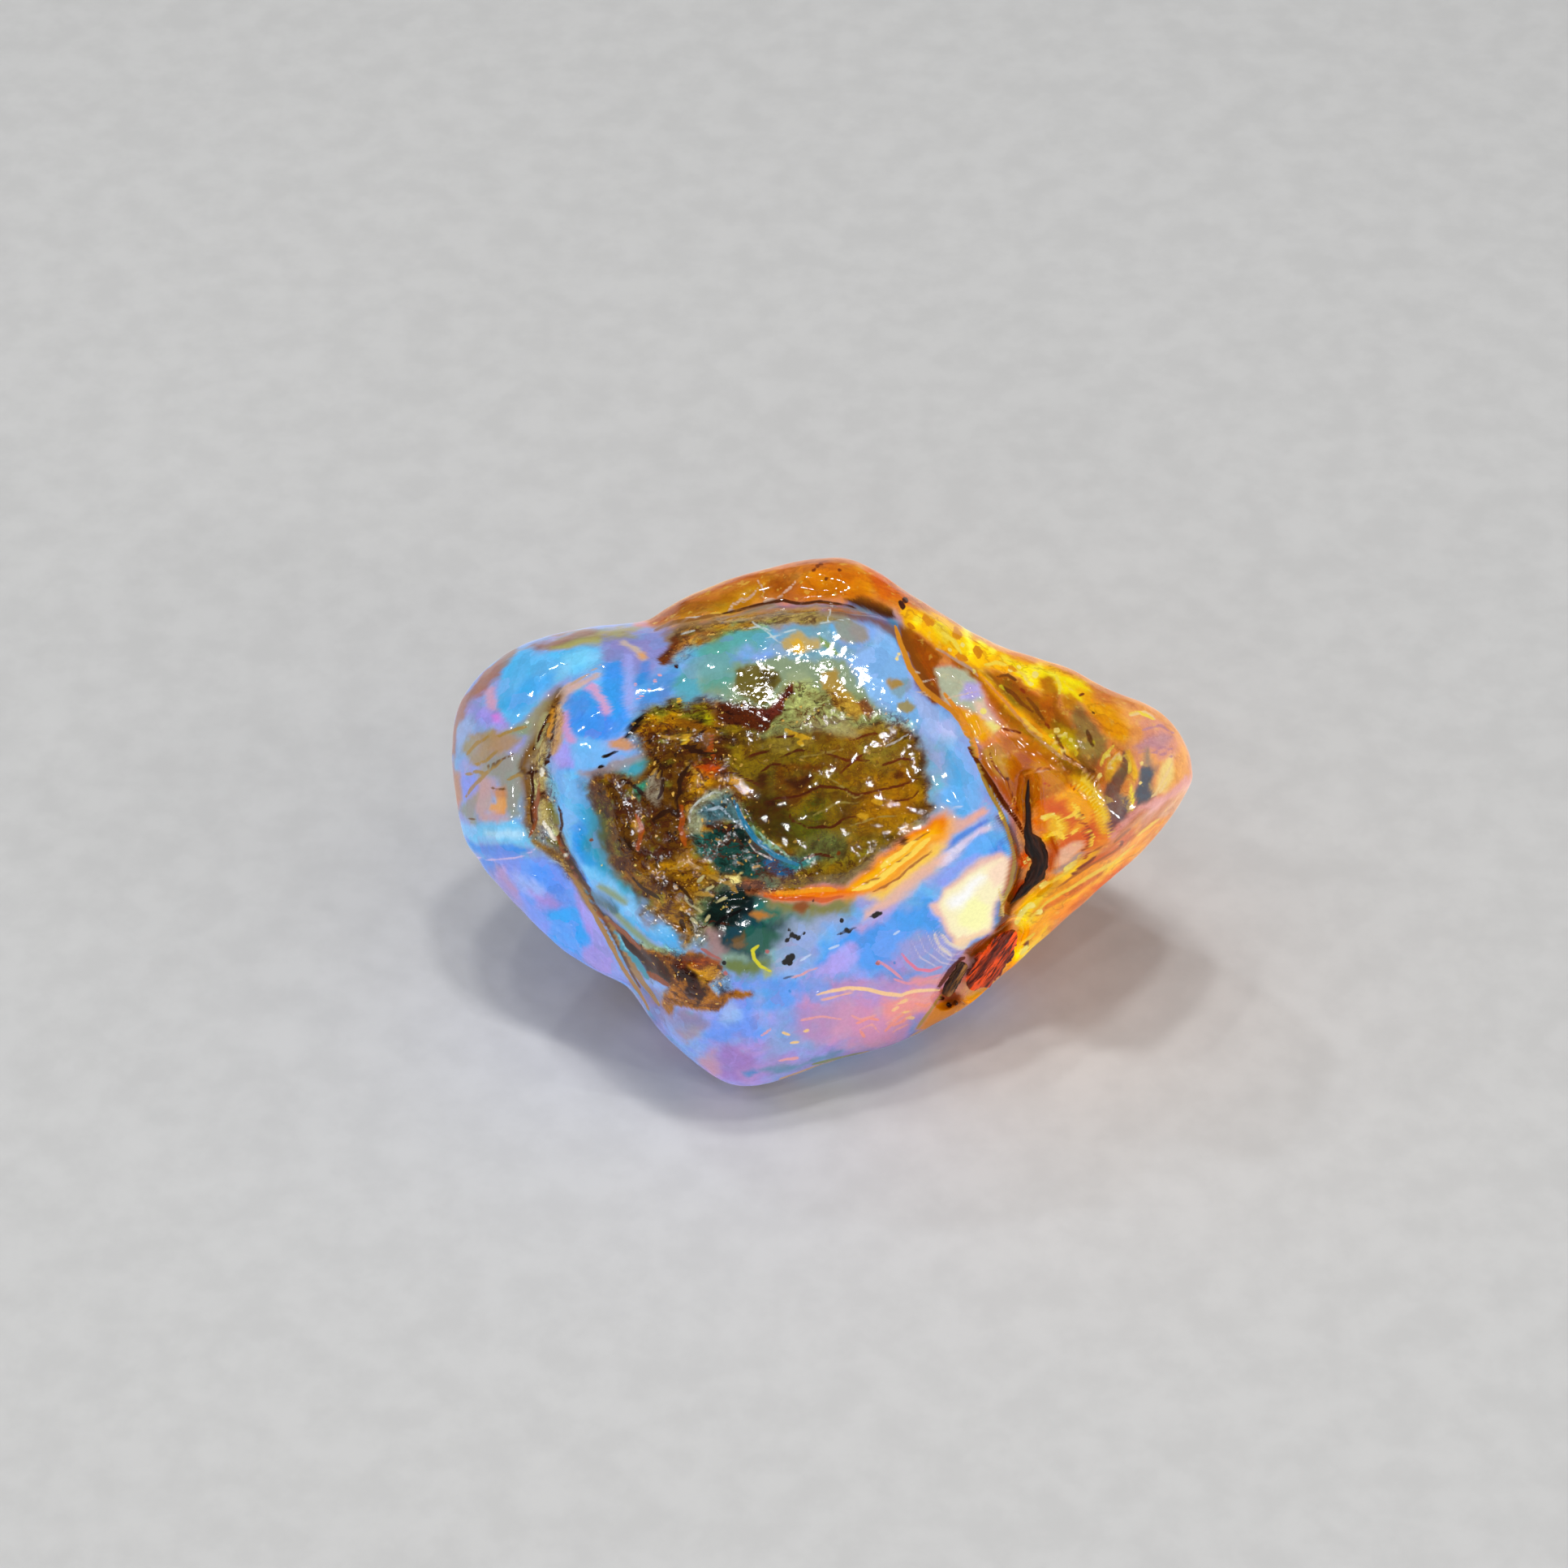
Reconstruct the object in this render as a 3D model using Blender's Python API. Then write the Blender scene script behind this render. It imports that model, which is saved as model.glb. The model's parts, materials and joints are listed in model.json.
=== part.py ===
"""A polished nodule of blue amber: one lump of fossil resin that rests on a flat, with three bits of
bark lodged in its crevices. Metres, +Z up. The origin is under the middle of its box, on the surface
that it rests on.

The broad polished face looks up and to the front. It is laid out on the face plane: across (to the
right), up (up the slope) and out (towards the viewer), in millimetres from the middle of the stone.
"""

import bmesh
import bpy
import numpy as np

# The stone's length from tip to tip. All that follows is drawn in millimetres for DRAWN_LENGTH.
STONE_LENGTH = 60.0
DRAWN_LENGTH = 59.49
UNIT = 0.001 * STONE_LENGTH / DRAWN_LENGTH

# How the polished face leans, and where the middle of the stone is over its footprint
FACE_ELEVATION = np.radians(45.0)
MIDDLE_HEIGHT = 15.9
MIDDLE_SHIFT = (0.15, -0.62)

# The rim of the stone seen square to its face, clockwise from the left end
RIM = (
    (-30.0, 5.2), (-29.6, 9.4), (-27.9, 11.9), (-24.8, 14.2), (-20.9, 15.4), (-16.6, 16.0),
    (-14.2, 16.1), (-12.0, 17.7), (-8.8, 19.1), (-4.2, 20.5), (-0.6, 21.2), (2.1, 21.3),
    (4.0, 20.4), (6.7, 18.5), (9.0, 17.1), (11.6, 15.4), (14.5, 14.0), (17.8, 13.0),
    (19.8, 12.5), (21.8, 11.3), (23.7, 10.3), (26.2, 9.7), (28.0, 8.4), (29.3, 6.5),
    (30.0, 4.4), (29.4, 2.2), (27.8, 0.0), (25.5, -2.7), (22.9, -4.8), (19.8, -7.6),
    (17.2, -9.9), (14.1, -12.7), (11.9, -14.7), (9.3, -16.1), (5.7, -17.9), (1.9, -18.8),
    (-0.9, -19.7), (-4.2, -20.9), (-6.5, -21.3), (-8.4, -20.6), (-10.9, -18.7), (-13.4, -16.3),
    (-14.7, -14.3), (-15.7, -12.9), (-17.6, -12.2), (-20.6, -10.5), (-23.7, -7.6), (-26.0, -5.2),
    (-29.0, -1.4), (-29.5, 1.5),
)
RIM_WEAR = np.radians(1.2)
RIM_STEPS = 1440

# The rim isn't level: it rises and falls by this much, twice each way round, starting at this angle
RIM_LIFT = 1.6
RIM_LIFT_START = 0.3

# Each lobe is cut by flats, each through three corners (across, up, out)
DOME_FLATS = (
    ((-14.0, 10.0, 13.2), (8.0, 12.0, 13.2), (-3.0, 17.0, 9.8)),
    ((-13.0, 16.0, 10.0), (5.0, 17.2, 9.8), (-4.0, 19.4, 3.0)),
    ((15.0, 0.0, 11.4), (-12.0, -11.0, 11.4), (-6.5, -21.3, 4.6)),
    ((-20.5, 8.0, 11.0), (-13.5, -11.0, 11.0), (-23.5, 3.5, 6.0)),
    ((8.5, 12.0, 11.2), (14.4, -3.0, 10.0), (16.4, 5.5, 5.2)),
    ((14.8, -2.0, 10.2), (9.5, -12.5, 9.6), (16.5, -11.0, 5.6)),
)
LEFT_FLATS = (
    ((-28.0, 12.0, 3.0), (-20.5, 15.3, 4.0), (-24.0, 7.2, 8.4)),
    ((-24.0, 8.0, 8.6), (-24.0, -1.0, 8.0), (-30.0, 4.0, 4.0)),
    ((-27.0, -1.0, 6.8), (-19.0, -3.4, 8.4), (-21.5, -9.6, 2.8)),
    ((-22.2, 9.0, 8.4), (-22.0, -3.0, 8.2), (-18.0, 3.0, 2.6)),
)
TOP_FLATS = (
    ((-10.0, 18.0, 6.6), (4.0, 18.6, 7.0), (0.0, 21.3, 4.4)),
    ((5.0, 18.0, 6.8), (8.0, 14.0, 7.6), (11.0, 15.6, 4.0)),
    ((-12.0, 17.6, 6.6), (5.0, 18.6, 6.9), (-3.0, 14.0, 1.0)),
)
RIGHT_FLATS = (
    ((9.0, 13.4, 8.4), (19.5, 3.3, 10.4), (28.0, 8.5, 4.6)),
    ((13.3, 8.1, 9.4), (23.5, -3.2, 9.4), (14.2, 1.0, 6.2)),
    ((23.5, -3.2, 9.4), (14.6, -10.0, 7.6), (21.5, -6.2, 5.0)),
    ((22.5, -2.0, 9.8), (29.5, 3.4, 6.4), (27.0, -1.0, 2.8)),
)
BACK_FLATS = (
    ((-14.0, 11.0, 13.5), (9.0, 13.0, 13.5), (0.0, 19.0, 6.0)),
    ((-25.0, 6.0, 7.5), (-15.0, 7.0, 16.0), (-17.0, -9.0, 12.5)),
    ((13.0, 5.0, 16.0), (25.0, 3.0, 6.0), (14.0, -9.0, 11.5)),
    ((1.0, 5.0, 18.6), (14.0, 10.0, 13.5), (9.0, -4.0, 17.2)),
    ((-12.0, -13.0, 12.0), (6.0, -14.5, 12.0), (-3.0, -4.0, 19.0)),
    ((-14.0, -2.0, 16.0), (-5.0, 8.0, 18.0), (-13.0, 9.0, 15.2)),
)
DOME_CROWN = (-3.0, 2.0, 14.6)
DOME_CURVE = (0.013, 0.016)
BACK_CROWN = (0.0, -2.0, 19.4)
BACK_CURVE = (0.010, 0.014)
DOME_BLEND = 0.8
FLAT_BLEND = 0.5
LOBE_BLEND = 0.4
LEAST_SWELL = 2.6

# Crevices, where flows of resin met, and crests: (route across and up, rise, half width)
FRONT_FOLDS = (
    (((-20.4, 11.4), (-22.8, 6.5), (-23.0, 1.5), (-21.9, -2.5), (-19.6, -6.6), (-16.6, -11.0),
      (-13.8, -15.0)), -1.5, 1.4),
    (((-14.0, 15.6), (-9.4, 17.0), (-4.2, 17.8), (2.4, 18.0), (5.9, 16.8)), -1.3, 1.2),
    (((5.9, 16.8), (7.4, 13.6), (9.2, 10.2), (11.8, 7.3), (13.5, 3.4), (15.0, -0.4), (16.0, -4.6),
      (15.0, -7.6), (12.4, -10.8), (9.6, -14.6)), -1.5, 1.6),
    (((-18.6, 12.0), (-17.4, 16.0)), -0.8, 1.2),
    (((6.4, 17.2), (9.0, 13.4), (13.3, 8.3), (19.5, 3.4), (22.0, 0.6), (23.5, -3.0)), 0.5, 1.7),
    (((29.4, 3.6), (23.5, -3.0), (19.6, -5.2), (15.6, -9.4)), 0.6, 1.7),
    (((-21.0, 9.0), (-21.4, 3.6), (-20.4, -2.0), (-17.2, -7.8), (-12.6, -12.0), (-7.0, -14.4)),
     0.7, 1.4),
    (((-28.6, -1.2), (-25.0, -1.6), (-21.6, -2.6)), 0.6, 1.3),
)
BACK_FOLDS = (
    (((-19.0, 15.0), (-13.0, 9.0), (-9.5, 1.0), (-11.5, -8.0), (-14.0, -14.0)), -1.4, 2.0),
    (((9.0, 17.0), (7.5, 9.0), (12.0, 1.0), (17.0, -6.0)), -1.2, 2.0),
)

# Low swells of the polished skin: (radians per millimetre across, up and out, phase, height)
SWELLS = (
    (0.52, 0.31, 0.20, 0.4, 0.16),
    (-0.35, 0.62, 0.27, 1.9, 0.14),
    (0.23, -0.48, 0.66, 3.1, 0.12),
    (0.95, 0.42, -0.55, 5.0, 0.06),
)
SWELL_FLATTENING = 1.6

# The ball that the stone is shaped from: squares along each side of its six panels, how far they
# crowd towards the front, and the turn that lays their rows along the stone's slanting crests
PANEL_SQUARES = 28
FRONT_CROWDING = 0.3
PANEL_TURN = np.radians(45.0)

# How often each point is drawn halfway to the middle of its neighbours, to wear sharp edges round
WEAR_PASSES = 2

# Each bit of bark is a strip along a route of stations: (across, up, half width)
SPLINTER_ROUTE = (
    (16.4, 3.7, 0.12), (16.5, 1.0, 0.35), (16.5, -1.0, 0.42), (16.9, -2.3, 1.05),
    (17.1, -3.7, 1.25), (16.4, -5.1, 0.85), (15.4, -6.4, 0.40), (14.6, -7.4, 0.15),
)
SCRAP_ROUTE = (
    (15.4, -8.6, 0.45), (14.6, -9.7, 0.95), (13.6, -11.1, 1.25), (12.5, -12.5, 1.15),
    (11.8, -13.4, 0.55),
)
TWIG_ROUTE = ((11.4, -11.2, 0.45), (10.6, -12.5, 0.50), (9.8, -13.9, 0.50))
SPLINTER_THICKNESS = 1.3
SCRAP_THICKNESS = 1.2
TWIG_THICKNESS = 1.0
STRIP_SIDES = 10
BARK_INSET = 0.2
BARK_GAP = 0.35
POCKET_REACH = 4.0


def least_of(heights, blend):
    """The smooth minimum of several heights: edges between flats are rounded over about blend."""
    stack = np.stack(heights)
    low = stack.min(0)
    return low - blend * np.log(np.exp(-(stack - low) / blend).sum(0))


def most_of(heights, blend):
    """The smooth maximum: the same, turned over."""
    return -least_of([-h for h in heights], blend)


def flat_height(across, up, corners):
    """The height of the plane through three corners."""
    rows = np.array([(1.0, a, u) for a, u, _ in corners])
    level, slope_across, slope_up = np.linalg.solve(rows, [out for _, _, out in corners])
    return level + slope_across * across + slope_up * up


def crown_height(across, up, crown, curve):
    """A shallow bowl turned over: the crown's height less the squares of the distances from it."""
    return crown[2] - curve[0] * (across - crown[0]) ** 2 - curve[1] * (up - crown[1]) ** 2


def lobe_height(across, up, flats, blend, crown=()):
    """The height of a lobe: the lowest of its flats and its crown."""
    return least_of([flat_height(across, up, f) for f in flats] + list(crown), blend)


def route_distance(across, up, route):
    """The distance from each point to a route of straight runs."""
    nearest = np.full(across.shape, np.inf)
    for (a0, u0), (a1, u1) in zip(route[:-1], route[1:]):
        run_a, run_u = a1 - a0, u1 - u0
        share = ((across - a0) * run_a + (up - u0) * run_u) / (run_a**2 + run_u**2)
        share = share.clip(0.0, 1.0)
        gap = np.hypot(across - a0 - share * run_a, up - u0 - share * run_u)
        nearest = np.minimum(nearest, gap)
    return nearest


def fold_rise(across, up, folds):
    """The deepest crevice plus the highest crest at each point. Each has a bell's section."""
    rises = np.stack([
        rise * np.exp(-((route_distance(across, up, route) / half_width) ** 2))
        for route, rise, half_width in folds
    ])
    return rises.min(0).clip(max=0) + rises.max(0).clip(min=0)


def front_height(across, up):
    """The polished face: the highest of four faceted lobes, with its crests and crevices."""
    crown = crown_height(across, up, DOME_CROWN, DOME_CURVE)
    lobes = [lobe_height(across, up, DOME_FLATS, DOME_BLEND, [crown])]
    lobes += [lobe_height(across, up, f, FLAT_BLEND) for f in (LEFT_FLATS, TOP_FLATS, RIGHT_FLATS)]
    height = most_of(lobes, LOBE_BLEND) + fold_rise(across, up, FRONT_FOLDS)
    return np.maximum(height, LEAST_SWELL)


def back_height(across, up):
    """How far the back stands behind the face plane: one crown cut by flats, with two crevices."""
    crown = crown_height(across, up, BACK_CROWN, BACK_CURVE)
    height = lobe_height(across, up, BACK_FLATS, FLAT_BLEND, [crown])
    return np.maximum(height + fold_rise(across, up, BACK_FOLDS), LEAST_SWELL)


def rim_radius(angle):
    """The rim's distance from the middle at each angle, smoothed so that its corners are worn."""
    points = np.array(RIM)
    angles = np.arctan2(points[:, 1], points[:, 0])
    order = np.argsort(angles)
    radii = np.hypot(points[:, 0], points[:, 1])[order]
    angles = angles[order]
    steps = np.linspace(-np.pi, np.pi, RIM_STEPS, endpoint=False)
    even = np.interp(steps, angles, radii, period=2 * np.pi)
    turn = np.minimum(steps + np.pi, np.pi - steps)
    weights = np.exp(-((turn / RIM_WEAR) ** 2) / 2)
    worn = np.fft.irfft(np.fft.rfft(even) * np.fft.rfft(weights / weights.sum()), RIM_STEPS)
    return np.interp(angle, steps, worn, period=2 * np.pi)


def rim_lift(angle, inward):
    """How far out the rim is carried: a saddle that is level at the middle and full at the rim."""
    return RIM_LIFT * np.sin(2 * (angle - RIM_LIFT_START)) * inward


def skin_height(across, up):
    """How far out the face stands over points of the face plane: its height, rounded off towards
    the rim as the root of 1 less the sixth power of the share of the way there."""
    angle = np.arctan2(up, across)
    inward = (np.hypot(across, up) / rim_radius(angle)) ** 2
    return np.sqrt((1 - inward**3).clip(0, 1)) * front_height(across, up) + rim_lift(angle, inward)


def nodule_points(ball):
    """Carries points of a unit ball onto the stone, in face-plane millimetres. Seen square to the
    face, the ball's outline becomes the rim, and its near and far halves the face and the back."""
    x, y, z = ball.T
    angle = np.arctan2(y, x)
    inward = x**2 + y**2
    across, up = rim_radius(angle) * np.stack([x, y])
    height = np.where(z > 0, front_height(across, up), back_height(across, up))
    out = z * np.sqrt(1 + inward + inward**2) * height + rim_lift(angle, inward)
    points = np.stack([across, up, out], 1)
    outwards = ball * (1.0, 1.0, SWELL_FLATTENING)
    outwards /= np.linalg.norm(outwards, axis=1)[:, None]
    swell = sum(h * np.sin(points @ (a, u, o) + phase) for a, u, o, phase, h in SWELLS)
    return points + outwards * (swell * (1 - inward**4))[:, None]


def to_world(points):
    """Face-plane millimetres to metres, with the stone standing on its flat."""
    across, up, out = np.asarray(points, float).T
    sine, cosine = np.sin(FACE_ELEVATION), np.cos(FACE_ELEVATION)
    x = across + MIDDLE_SHIFT[0]
    y = up * sine - out * cosine + MIDDLE_SHIFT[1]
    z = up * cosine + out * sine + MIDDLE_HEIGHT
    return np.stack([x, y, z], 1) * UNIT


def new_material(name, colour, roughness, transmission=0.0):
    material = bpy.data.materials.new(name)
    material.use_nodes = True
    shader = material.node_tree.nodes["Principled BSDF"]
    shader.inputs["Base Color"].default_value = (*colour, 1.0)
    shader.inputs["Roughness"].default_value = roughness
    shader.inputs["Transmission Weight"].default_value = transmission
    material.diffuse_color = (*colour, 1.0)
    return material


def finished_object(name, work, material):
    """Turns the faces outwards and puts the mesh into the scene."""
    bmesh.ops.recalc_face_normals(work, faces=work.faces[:])
    mesh = bpy.data.meshes.new(name)
    work.to_mesh(mesh)
    work.free()
    if material:
        mesh.materials.append(material)
    obj = bpy.data.objects.new(name, mesh)
    bpy.context.collection.objects.link(obj)
    return obj


def crowded_ball(points):
    """Carries a cube's grid onto a unit ball with squares of even size, turned, and crowded to the
    front."""
    even = np.tan(points * np.pi / 4)
    even /= np.linalg.norm(even, axis=1)[:, None]
    x, y, z = even.T
    crowded = z + FRONT_CROWDING * (1 - z**2)
    spread = np.sqrt((1 - crowded**2) / np.maximum(1 - z**2, 1e-12))
    cosine, sine = np.cos(PANEL_TURN), np.sin(PANEL_TURN)
    return np.stack([(x * cosine - y * sine) * spread, (x * sine + y * cosine) * spread, crowded], 1)


def nodule(name, material):
    """The stone: a cube's grid blown up to a ball, shaped, and cut off flat where it rests."""
    work = bmesh.new()
    bmesh.ops.create_cube(work, size=2.0)
    bmesh.ops.subdivide_edges(work, edges=work.edges[:], cuts=PANEL_SQUARES - 1, use_grid_fill=True)
    shaped = to_world(nodule_points(crowded_ball(np.array([v.co for v in work.verts]))))
    for vertex, place in zip(work.verts, shaped):
        vertex.co = place
    for _ in range(WEAR_PASSES):
        bmesh.ops.smooth_vert(
            work, verts=work.verts[:], factor=0.5, use_axis_x=True, use_axis_y=True, use_axis_z=True
        )
    everything = work.verts[:] + work.edges[:] + work.faces[:]
    cut = bmesh.ops.bisect_plane(
        work, geom=everything, dist=1e-6, plane_co=(0, 0, 0), plane_no=(0, 0, -1), clear_outer=True
    )
    edges = [e for e in cut["geom_cut"] if isinstance(e, bmesh.types.BMEdge)]
    bmesh.ops.edgeloop_fill(work, edges=edges)
    return finished_object(name, work, material)


def bark_strip(name, route, thickness, material):
    """A flake along the route. Each station is an oval, its top a little under the skin around it."""
    route = np.array(route)
    turn = np.linspace(0, 2 * np.pi, STRIP_SIDES, endpoint=False)
    ovals = np.stack([np.cos(turn), np.sin(turn) - 1], 1)
    return strip_object(name, route, ovals, thickness / 2, material)


def bark_pocket(name, route, thickness):
    """The room around a flake: the gap below and beside it, and open outwards, past the skin."""
    route = np.array(route)
    ends = route[[0, -1], :2] - route[[1, -2], :2]
    ends /= np.linalg.norm(ends, axis=1)[:, None]
    route[[0, -1], :2] += ends * BARK_GAP
    route[:, 2] += BARK_GAP
    half = thickness / 2
    turn = np.linspace(np.pi, 2 * np.pi, STRIP_SIDES)
    trough = np.stack([np.cos(turn), np.sin(turn) * (half + BARK_GAP) / half - 1], 1)
    brim = POCKET_REACH / half
    ovals = np.vstack([trough, (1, brim), (-1, brim)])
    return strip_object(name, route, ovals, half, None)


def strip_object(name, route, ovals, half_thickness, material):
    """Lofts ovals, given in half widths sideways and half thicknesses outwards, along the route."""
    along = np.gradient(route[:, :2], axis=0)
    along /= np.linalg.norm(along, axis=1)[:, None]
    sideways = np.stack([along[:, 1], -along[:, 0]], 1)
    top = skin_height(route[:, 0], route[:, 1]) - BARK_INSET
    flat = route[:, None, :2] + sideways[:, None] * (ovals[:, 0] * route[:, 2:])[..., None]
    out = top[:, None] + ovals[:, 1] * half_thickness
    points = np.concatenate([flat, out[..., None]], 2).reshape(-1, 3)
    sides, count = len(ovals), len(route)
    ring = np.arange(sides)
    after = np.roll(ring, -1)
    walls = [
        np.stack([ring, after, after + sides, ring + sides], 1) + sides * k
        for k in range(count - 1)
    ]
    work = bmesh.new()
    vertices = [work.verts.new(p) for p in to_world(points)]
    for corners in np.vstack(walls):
        work.faces.new([vertices[c] for c in corners])
    bmesh.ops.holes_fill(work, edges=work.edges[:])
    bmesh.ops.triangulate(work, faces=work.faces[:])
    return finished_object(name, work, material)


def cut_pocket(stone, cutter):
    """Opens the stone where a flake of bark lies."""
    cutter.hide_render = True
    cutter.display_type = "WIRE"
    pocket = stone.modifiers.new(cutter.name, "BOOLEAN")
    pocket.operation = "DIFFERENCE"
    pocket.solver = "EXACT"
    pocket.object = cutter


def build():
    for old in list(bpy.data.objects):
        bpy.data.objects.remove(old)

    stone = nodule("amber_nodule", new_material("amber", (0.80, 0.36, 0.06), 0.08, 0.6))
    stone.data.shade_smooth()

    charred = new_material("charred_bark", (0.03, 0.018, 0.012), 0.55)
    soaked = new_material("resin_soaked_bark", (0.30, 0.05, 0.015), 0.4)
    brown = new_material("brown_twig", (0.20, 0.09, 0.03), 0.5)
    for name, route, thickness, material in (
        ("bark_splinter", SPLINTER_ROUTE, SPLINTER_THICKNESS, charred),
        ("bark_scrap", SCRAP_ROUTE, SCRAP_THICKNESS, soaked),
        ("bark_twig", TWIG_ROUTE, TWIG_THICKNESS, brown),
    ):
        bark_strip(name, route, thickness, material)
        cut_pocket(stone, bark_pocket(name + "_pocket", route, thickness))


build()
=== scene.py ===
"""The dressed nodule of blue amber: its polished skin with the clouds of blue opalescence and debris,
the clear honey-coloured lobe, and the bits of bark in its crevices, on a pale floor in soft light.

Metres, +Z up. The polished face is laid out as in the solid: across (to the right), up (up its slope)
and out (towards the viewer), in millimetres from the middle of the stone. Clouds, streaks and flecks
are placed on the face plane where the viewer sees them.
"""

import itertools
import json

import bpy
import numpy as np
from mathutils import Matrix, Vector

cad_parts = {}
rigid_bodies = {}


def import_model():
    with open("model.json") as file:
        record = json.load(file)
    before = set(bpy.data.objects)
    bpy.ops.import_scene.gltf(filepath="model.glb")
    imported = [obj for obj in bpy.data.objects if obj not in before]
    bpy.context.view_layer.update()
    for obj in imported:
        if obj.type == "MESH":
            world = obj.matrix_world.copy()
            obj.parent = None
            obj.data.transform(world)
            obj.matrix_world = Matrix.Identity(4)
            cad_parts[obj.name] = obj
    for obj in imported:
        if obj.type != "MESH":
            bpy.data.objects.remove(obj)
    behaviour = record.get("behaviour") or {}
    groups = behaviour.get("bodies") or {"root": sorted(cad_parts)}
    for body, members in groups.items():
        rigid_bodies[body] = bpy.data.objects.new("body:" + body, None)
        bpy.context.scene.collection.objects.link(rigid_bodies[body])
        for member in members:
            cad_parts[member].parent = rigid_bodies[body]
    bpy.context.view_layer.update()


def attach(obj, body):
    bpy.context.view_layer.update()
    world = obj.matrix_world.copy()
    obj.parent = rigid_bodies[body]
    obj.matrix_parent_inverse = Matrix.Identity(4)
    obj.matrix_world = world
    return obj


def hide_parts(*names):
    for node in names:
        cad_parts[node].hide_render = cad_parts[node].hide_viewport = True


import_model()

# The stone's length, and how its face leans and stands over its footprint, as in the solid
UNIT = 0.001 * 60.0 / 59.49
FACE_ELEVATION = np.radians(45.0)
MIDDLE_HEIGHT = 15.9
MIDDLE_SHIFT = (0.15, -0.62)

# The rim of the stone seen square to its face, clockwise from the left end
RIM = (
    (-30.0, 5.2), (-29.6, 9.4), (-27.9, 11.9), (-24.8, 14.2), (-20.9, 15.4), (-16.6, 16.0),
    (-14.2, 16.1), (-12.0, 17.7), (-8.8, 19.1), (-4.2, 20.5), (-0.6, 21.2), (2.1, 21.3),
    (4.0, 20.4), (6.7, 18.5), (9.0, 17.1), (11.6, 15.4), (14.5, 14.0), (17.8, 13.0),
    (19.8, 12.5), (21.8, 11.3), (23.7, 10.3), (26.2, 9.7), (28.0, 8.4), (29.3, 6.5),
    (30.0, 4.4), (29.4, 2.2), (27.8, 0.0), (25.5, -2.7), (22.9, -4.8), (19.8, -7.6),
    (17.2, -9.9), (14.1, -12.7), (11.9, -14.7), (9.3, -16.1), (5.7, -17.9), (1.9, -18.8),
    (-0.9, -19.7), (-4.2, -20.9), (-6.5, -21.3), (-8.4, -20.6), (-10.9, -18.7), (-13.4, -16.3),
    (-14.7, -14.3), (-15.7, -12.9), (-17.6, -12.2), (-20.6, -10.5), (-23.7, -7.6), (-26.0, -5.2),
    (-29.0, -1.4), (-29.5, 1.5),
)
RIM_WEAR = np.radians(1.2)
RIM_STEPS = 1440
RIM_LIFT = 1.6
RIM_LIFT_START = 0.3

# Each lobe is cut by flats, each through three corners (across, up, out)
DOME_FLATS = (
    ((-14.0, 10.0, 13.2), (8.0, 12.0, 13.2), (-3.0, 17.0, 9.8)),
    ((-13.0, 16.0, 10.0), (5.0, 17.2, 9.8), (-4.0, 19.4, 3.0)),
    ((15.0, 0.0, 11.4), (-12.0, -11.0, 11.4), (-6.5, -21.3, 4.6)),
    ((-20.5, 8.0, 11.0), (-13.5, -11.0, 11.0), (-23.5, 3.5, 6.0)),
    ((8.5, 12.0, 11.2), (14.4, -3.0, 10.0), (16.4, 5.5, 5.2)),
    ((14.8, -2.0, 10.2), (9.5, -12.5, 9.6), (16.5, -11.0, 5.6)),
)
LEFT_FLATS = (
    ((-28.0, 12.0, 3.0), (-20.5, 15.3, 4.0), (-24.0, 7.2, 8.4)),
    ((-24.0, 8.0, 8.6), (-24.0, -1.0, 8.0), (-30.0, 4.0, 4.0)),
    ((-27.0, -1.0, 6.8), (-19.0, -3.4, 8.4), (-21.5, -9.6, 2.8)),
    ((-22.2, 9.0, 8.4), (-22.0, -3.0, 8.2), (-18.0, 3.0, 2.6)),
)
TOP_FLATS = (
    ((-10.0, 18.0, 6.6), (4.0, 18.6, 7.0), (0.0, 21.3, 4.4)),
    ((5.0, 18.0, 6.8), (8.0, 14.0, 7.6), (11.0, 15.6, 4.0)),
    ((-12.0, 17.6, 6.6), (5.0, 18.6, 6.9), (-3.0, 14.0, 1.0)),
)
RIGHT_FLATS = (
    ((9.0, 13.4, 8.4), (19.5, 3.3, 10.4), (28.0, 8.5, 4.6)),
    ((13.3, 8.1, 9.4), (23.5, -3.2, 9.4), (14.2, 1.0, 6.2)),
    ((23.5, -3.2, 9.4), (14.6, -10.0, 7.6), (21.5, -6.2, 5.0)),
    ((22.5, -2.0, 9.8), (29.5, 3.4, 6.4), (27.0, -1.0, 2.8)),
)
BACK_FLATS = (
    ((-14.0, 11.0, 13.5), (9.0, 13.0, 13.5), (0.0, 19.0, 6.0)),
    ((-25.0, 6.0, 7.5), (-15.0, 7.0, 16.0), (-17.0, -9.0, 12.5)),
    ((13.0, 5.0, 16.0), (25.0, 3.0, 6.0), (14.0, -9.0, 11.5)),
    ((1.0, 5.0, 18.6), (14.0, 10.0, 13.5), (9.0, -4.0, 17.2)),
    ((-12.0, -13.0, 12.0), (6.0, -14.5, 12.0), (-3.0, -4.0, 19.0)),
    ((-14.0, -2.0, 16.0), (-5.0, 8.0, 18.0), (-13.0, 9.0, 15.2)),
)
DOME_CROWN = (-3.0, 2.0, 14.6)
DOME_CURVE = (0.013, 0.016)
BACK_CROWN = (0.0, -2.0, 19.4)
BACK_CURVE = (0.010, 0.014)
DOME_BLEND = 0.8
FLAT_BLEND = 0.5
LOBE_BLEND = 0.4
LEAST_SWELL = 2.6

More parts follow.
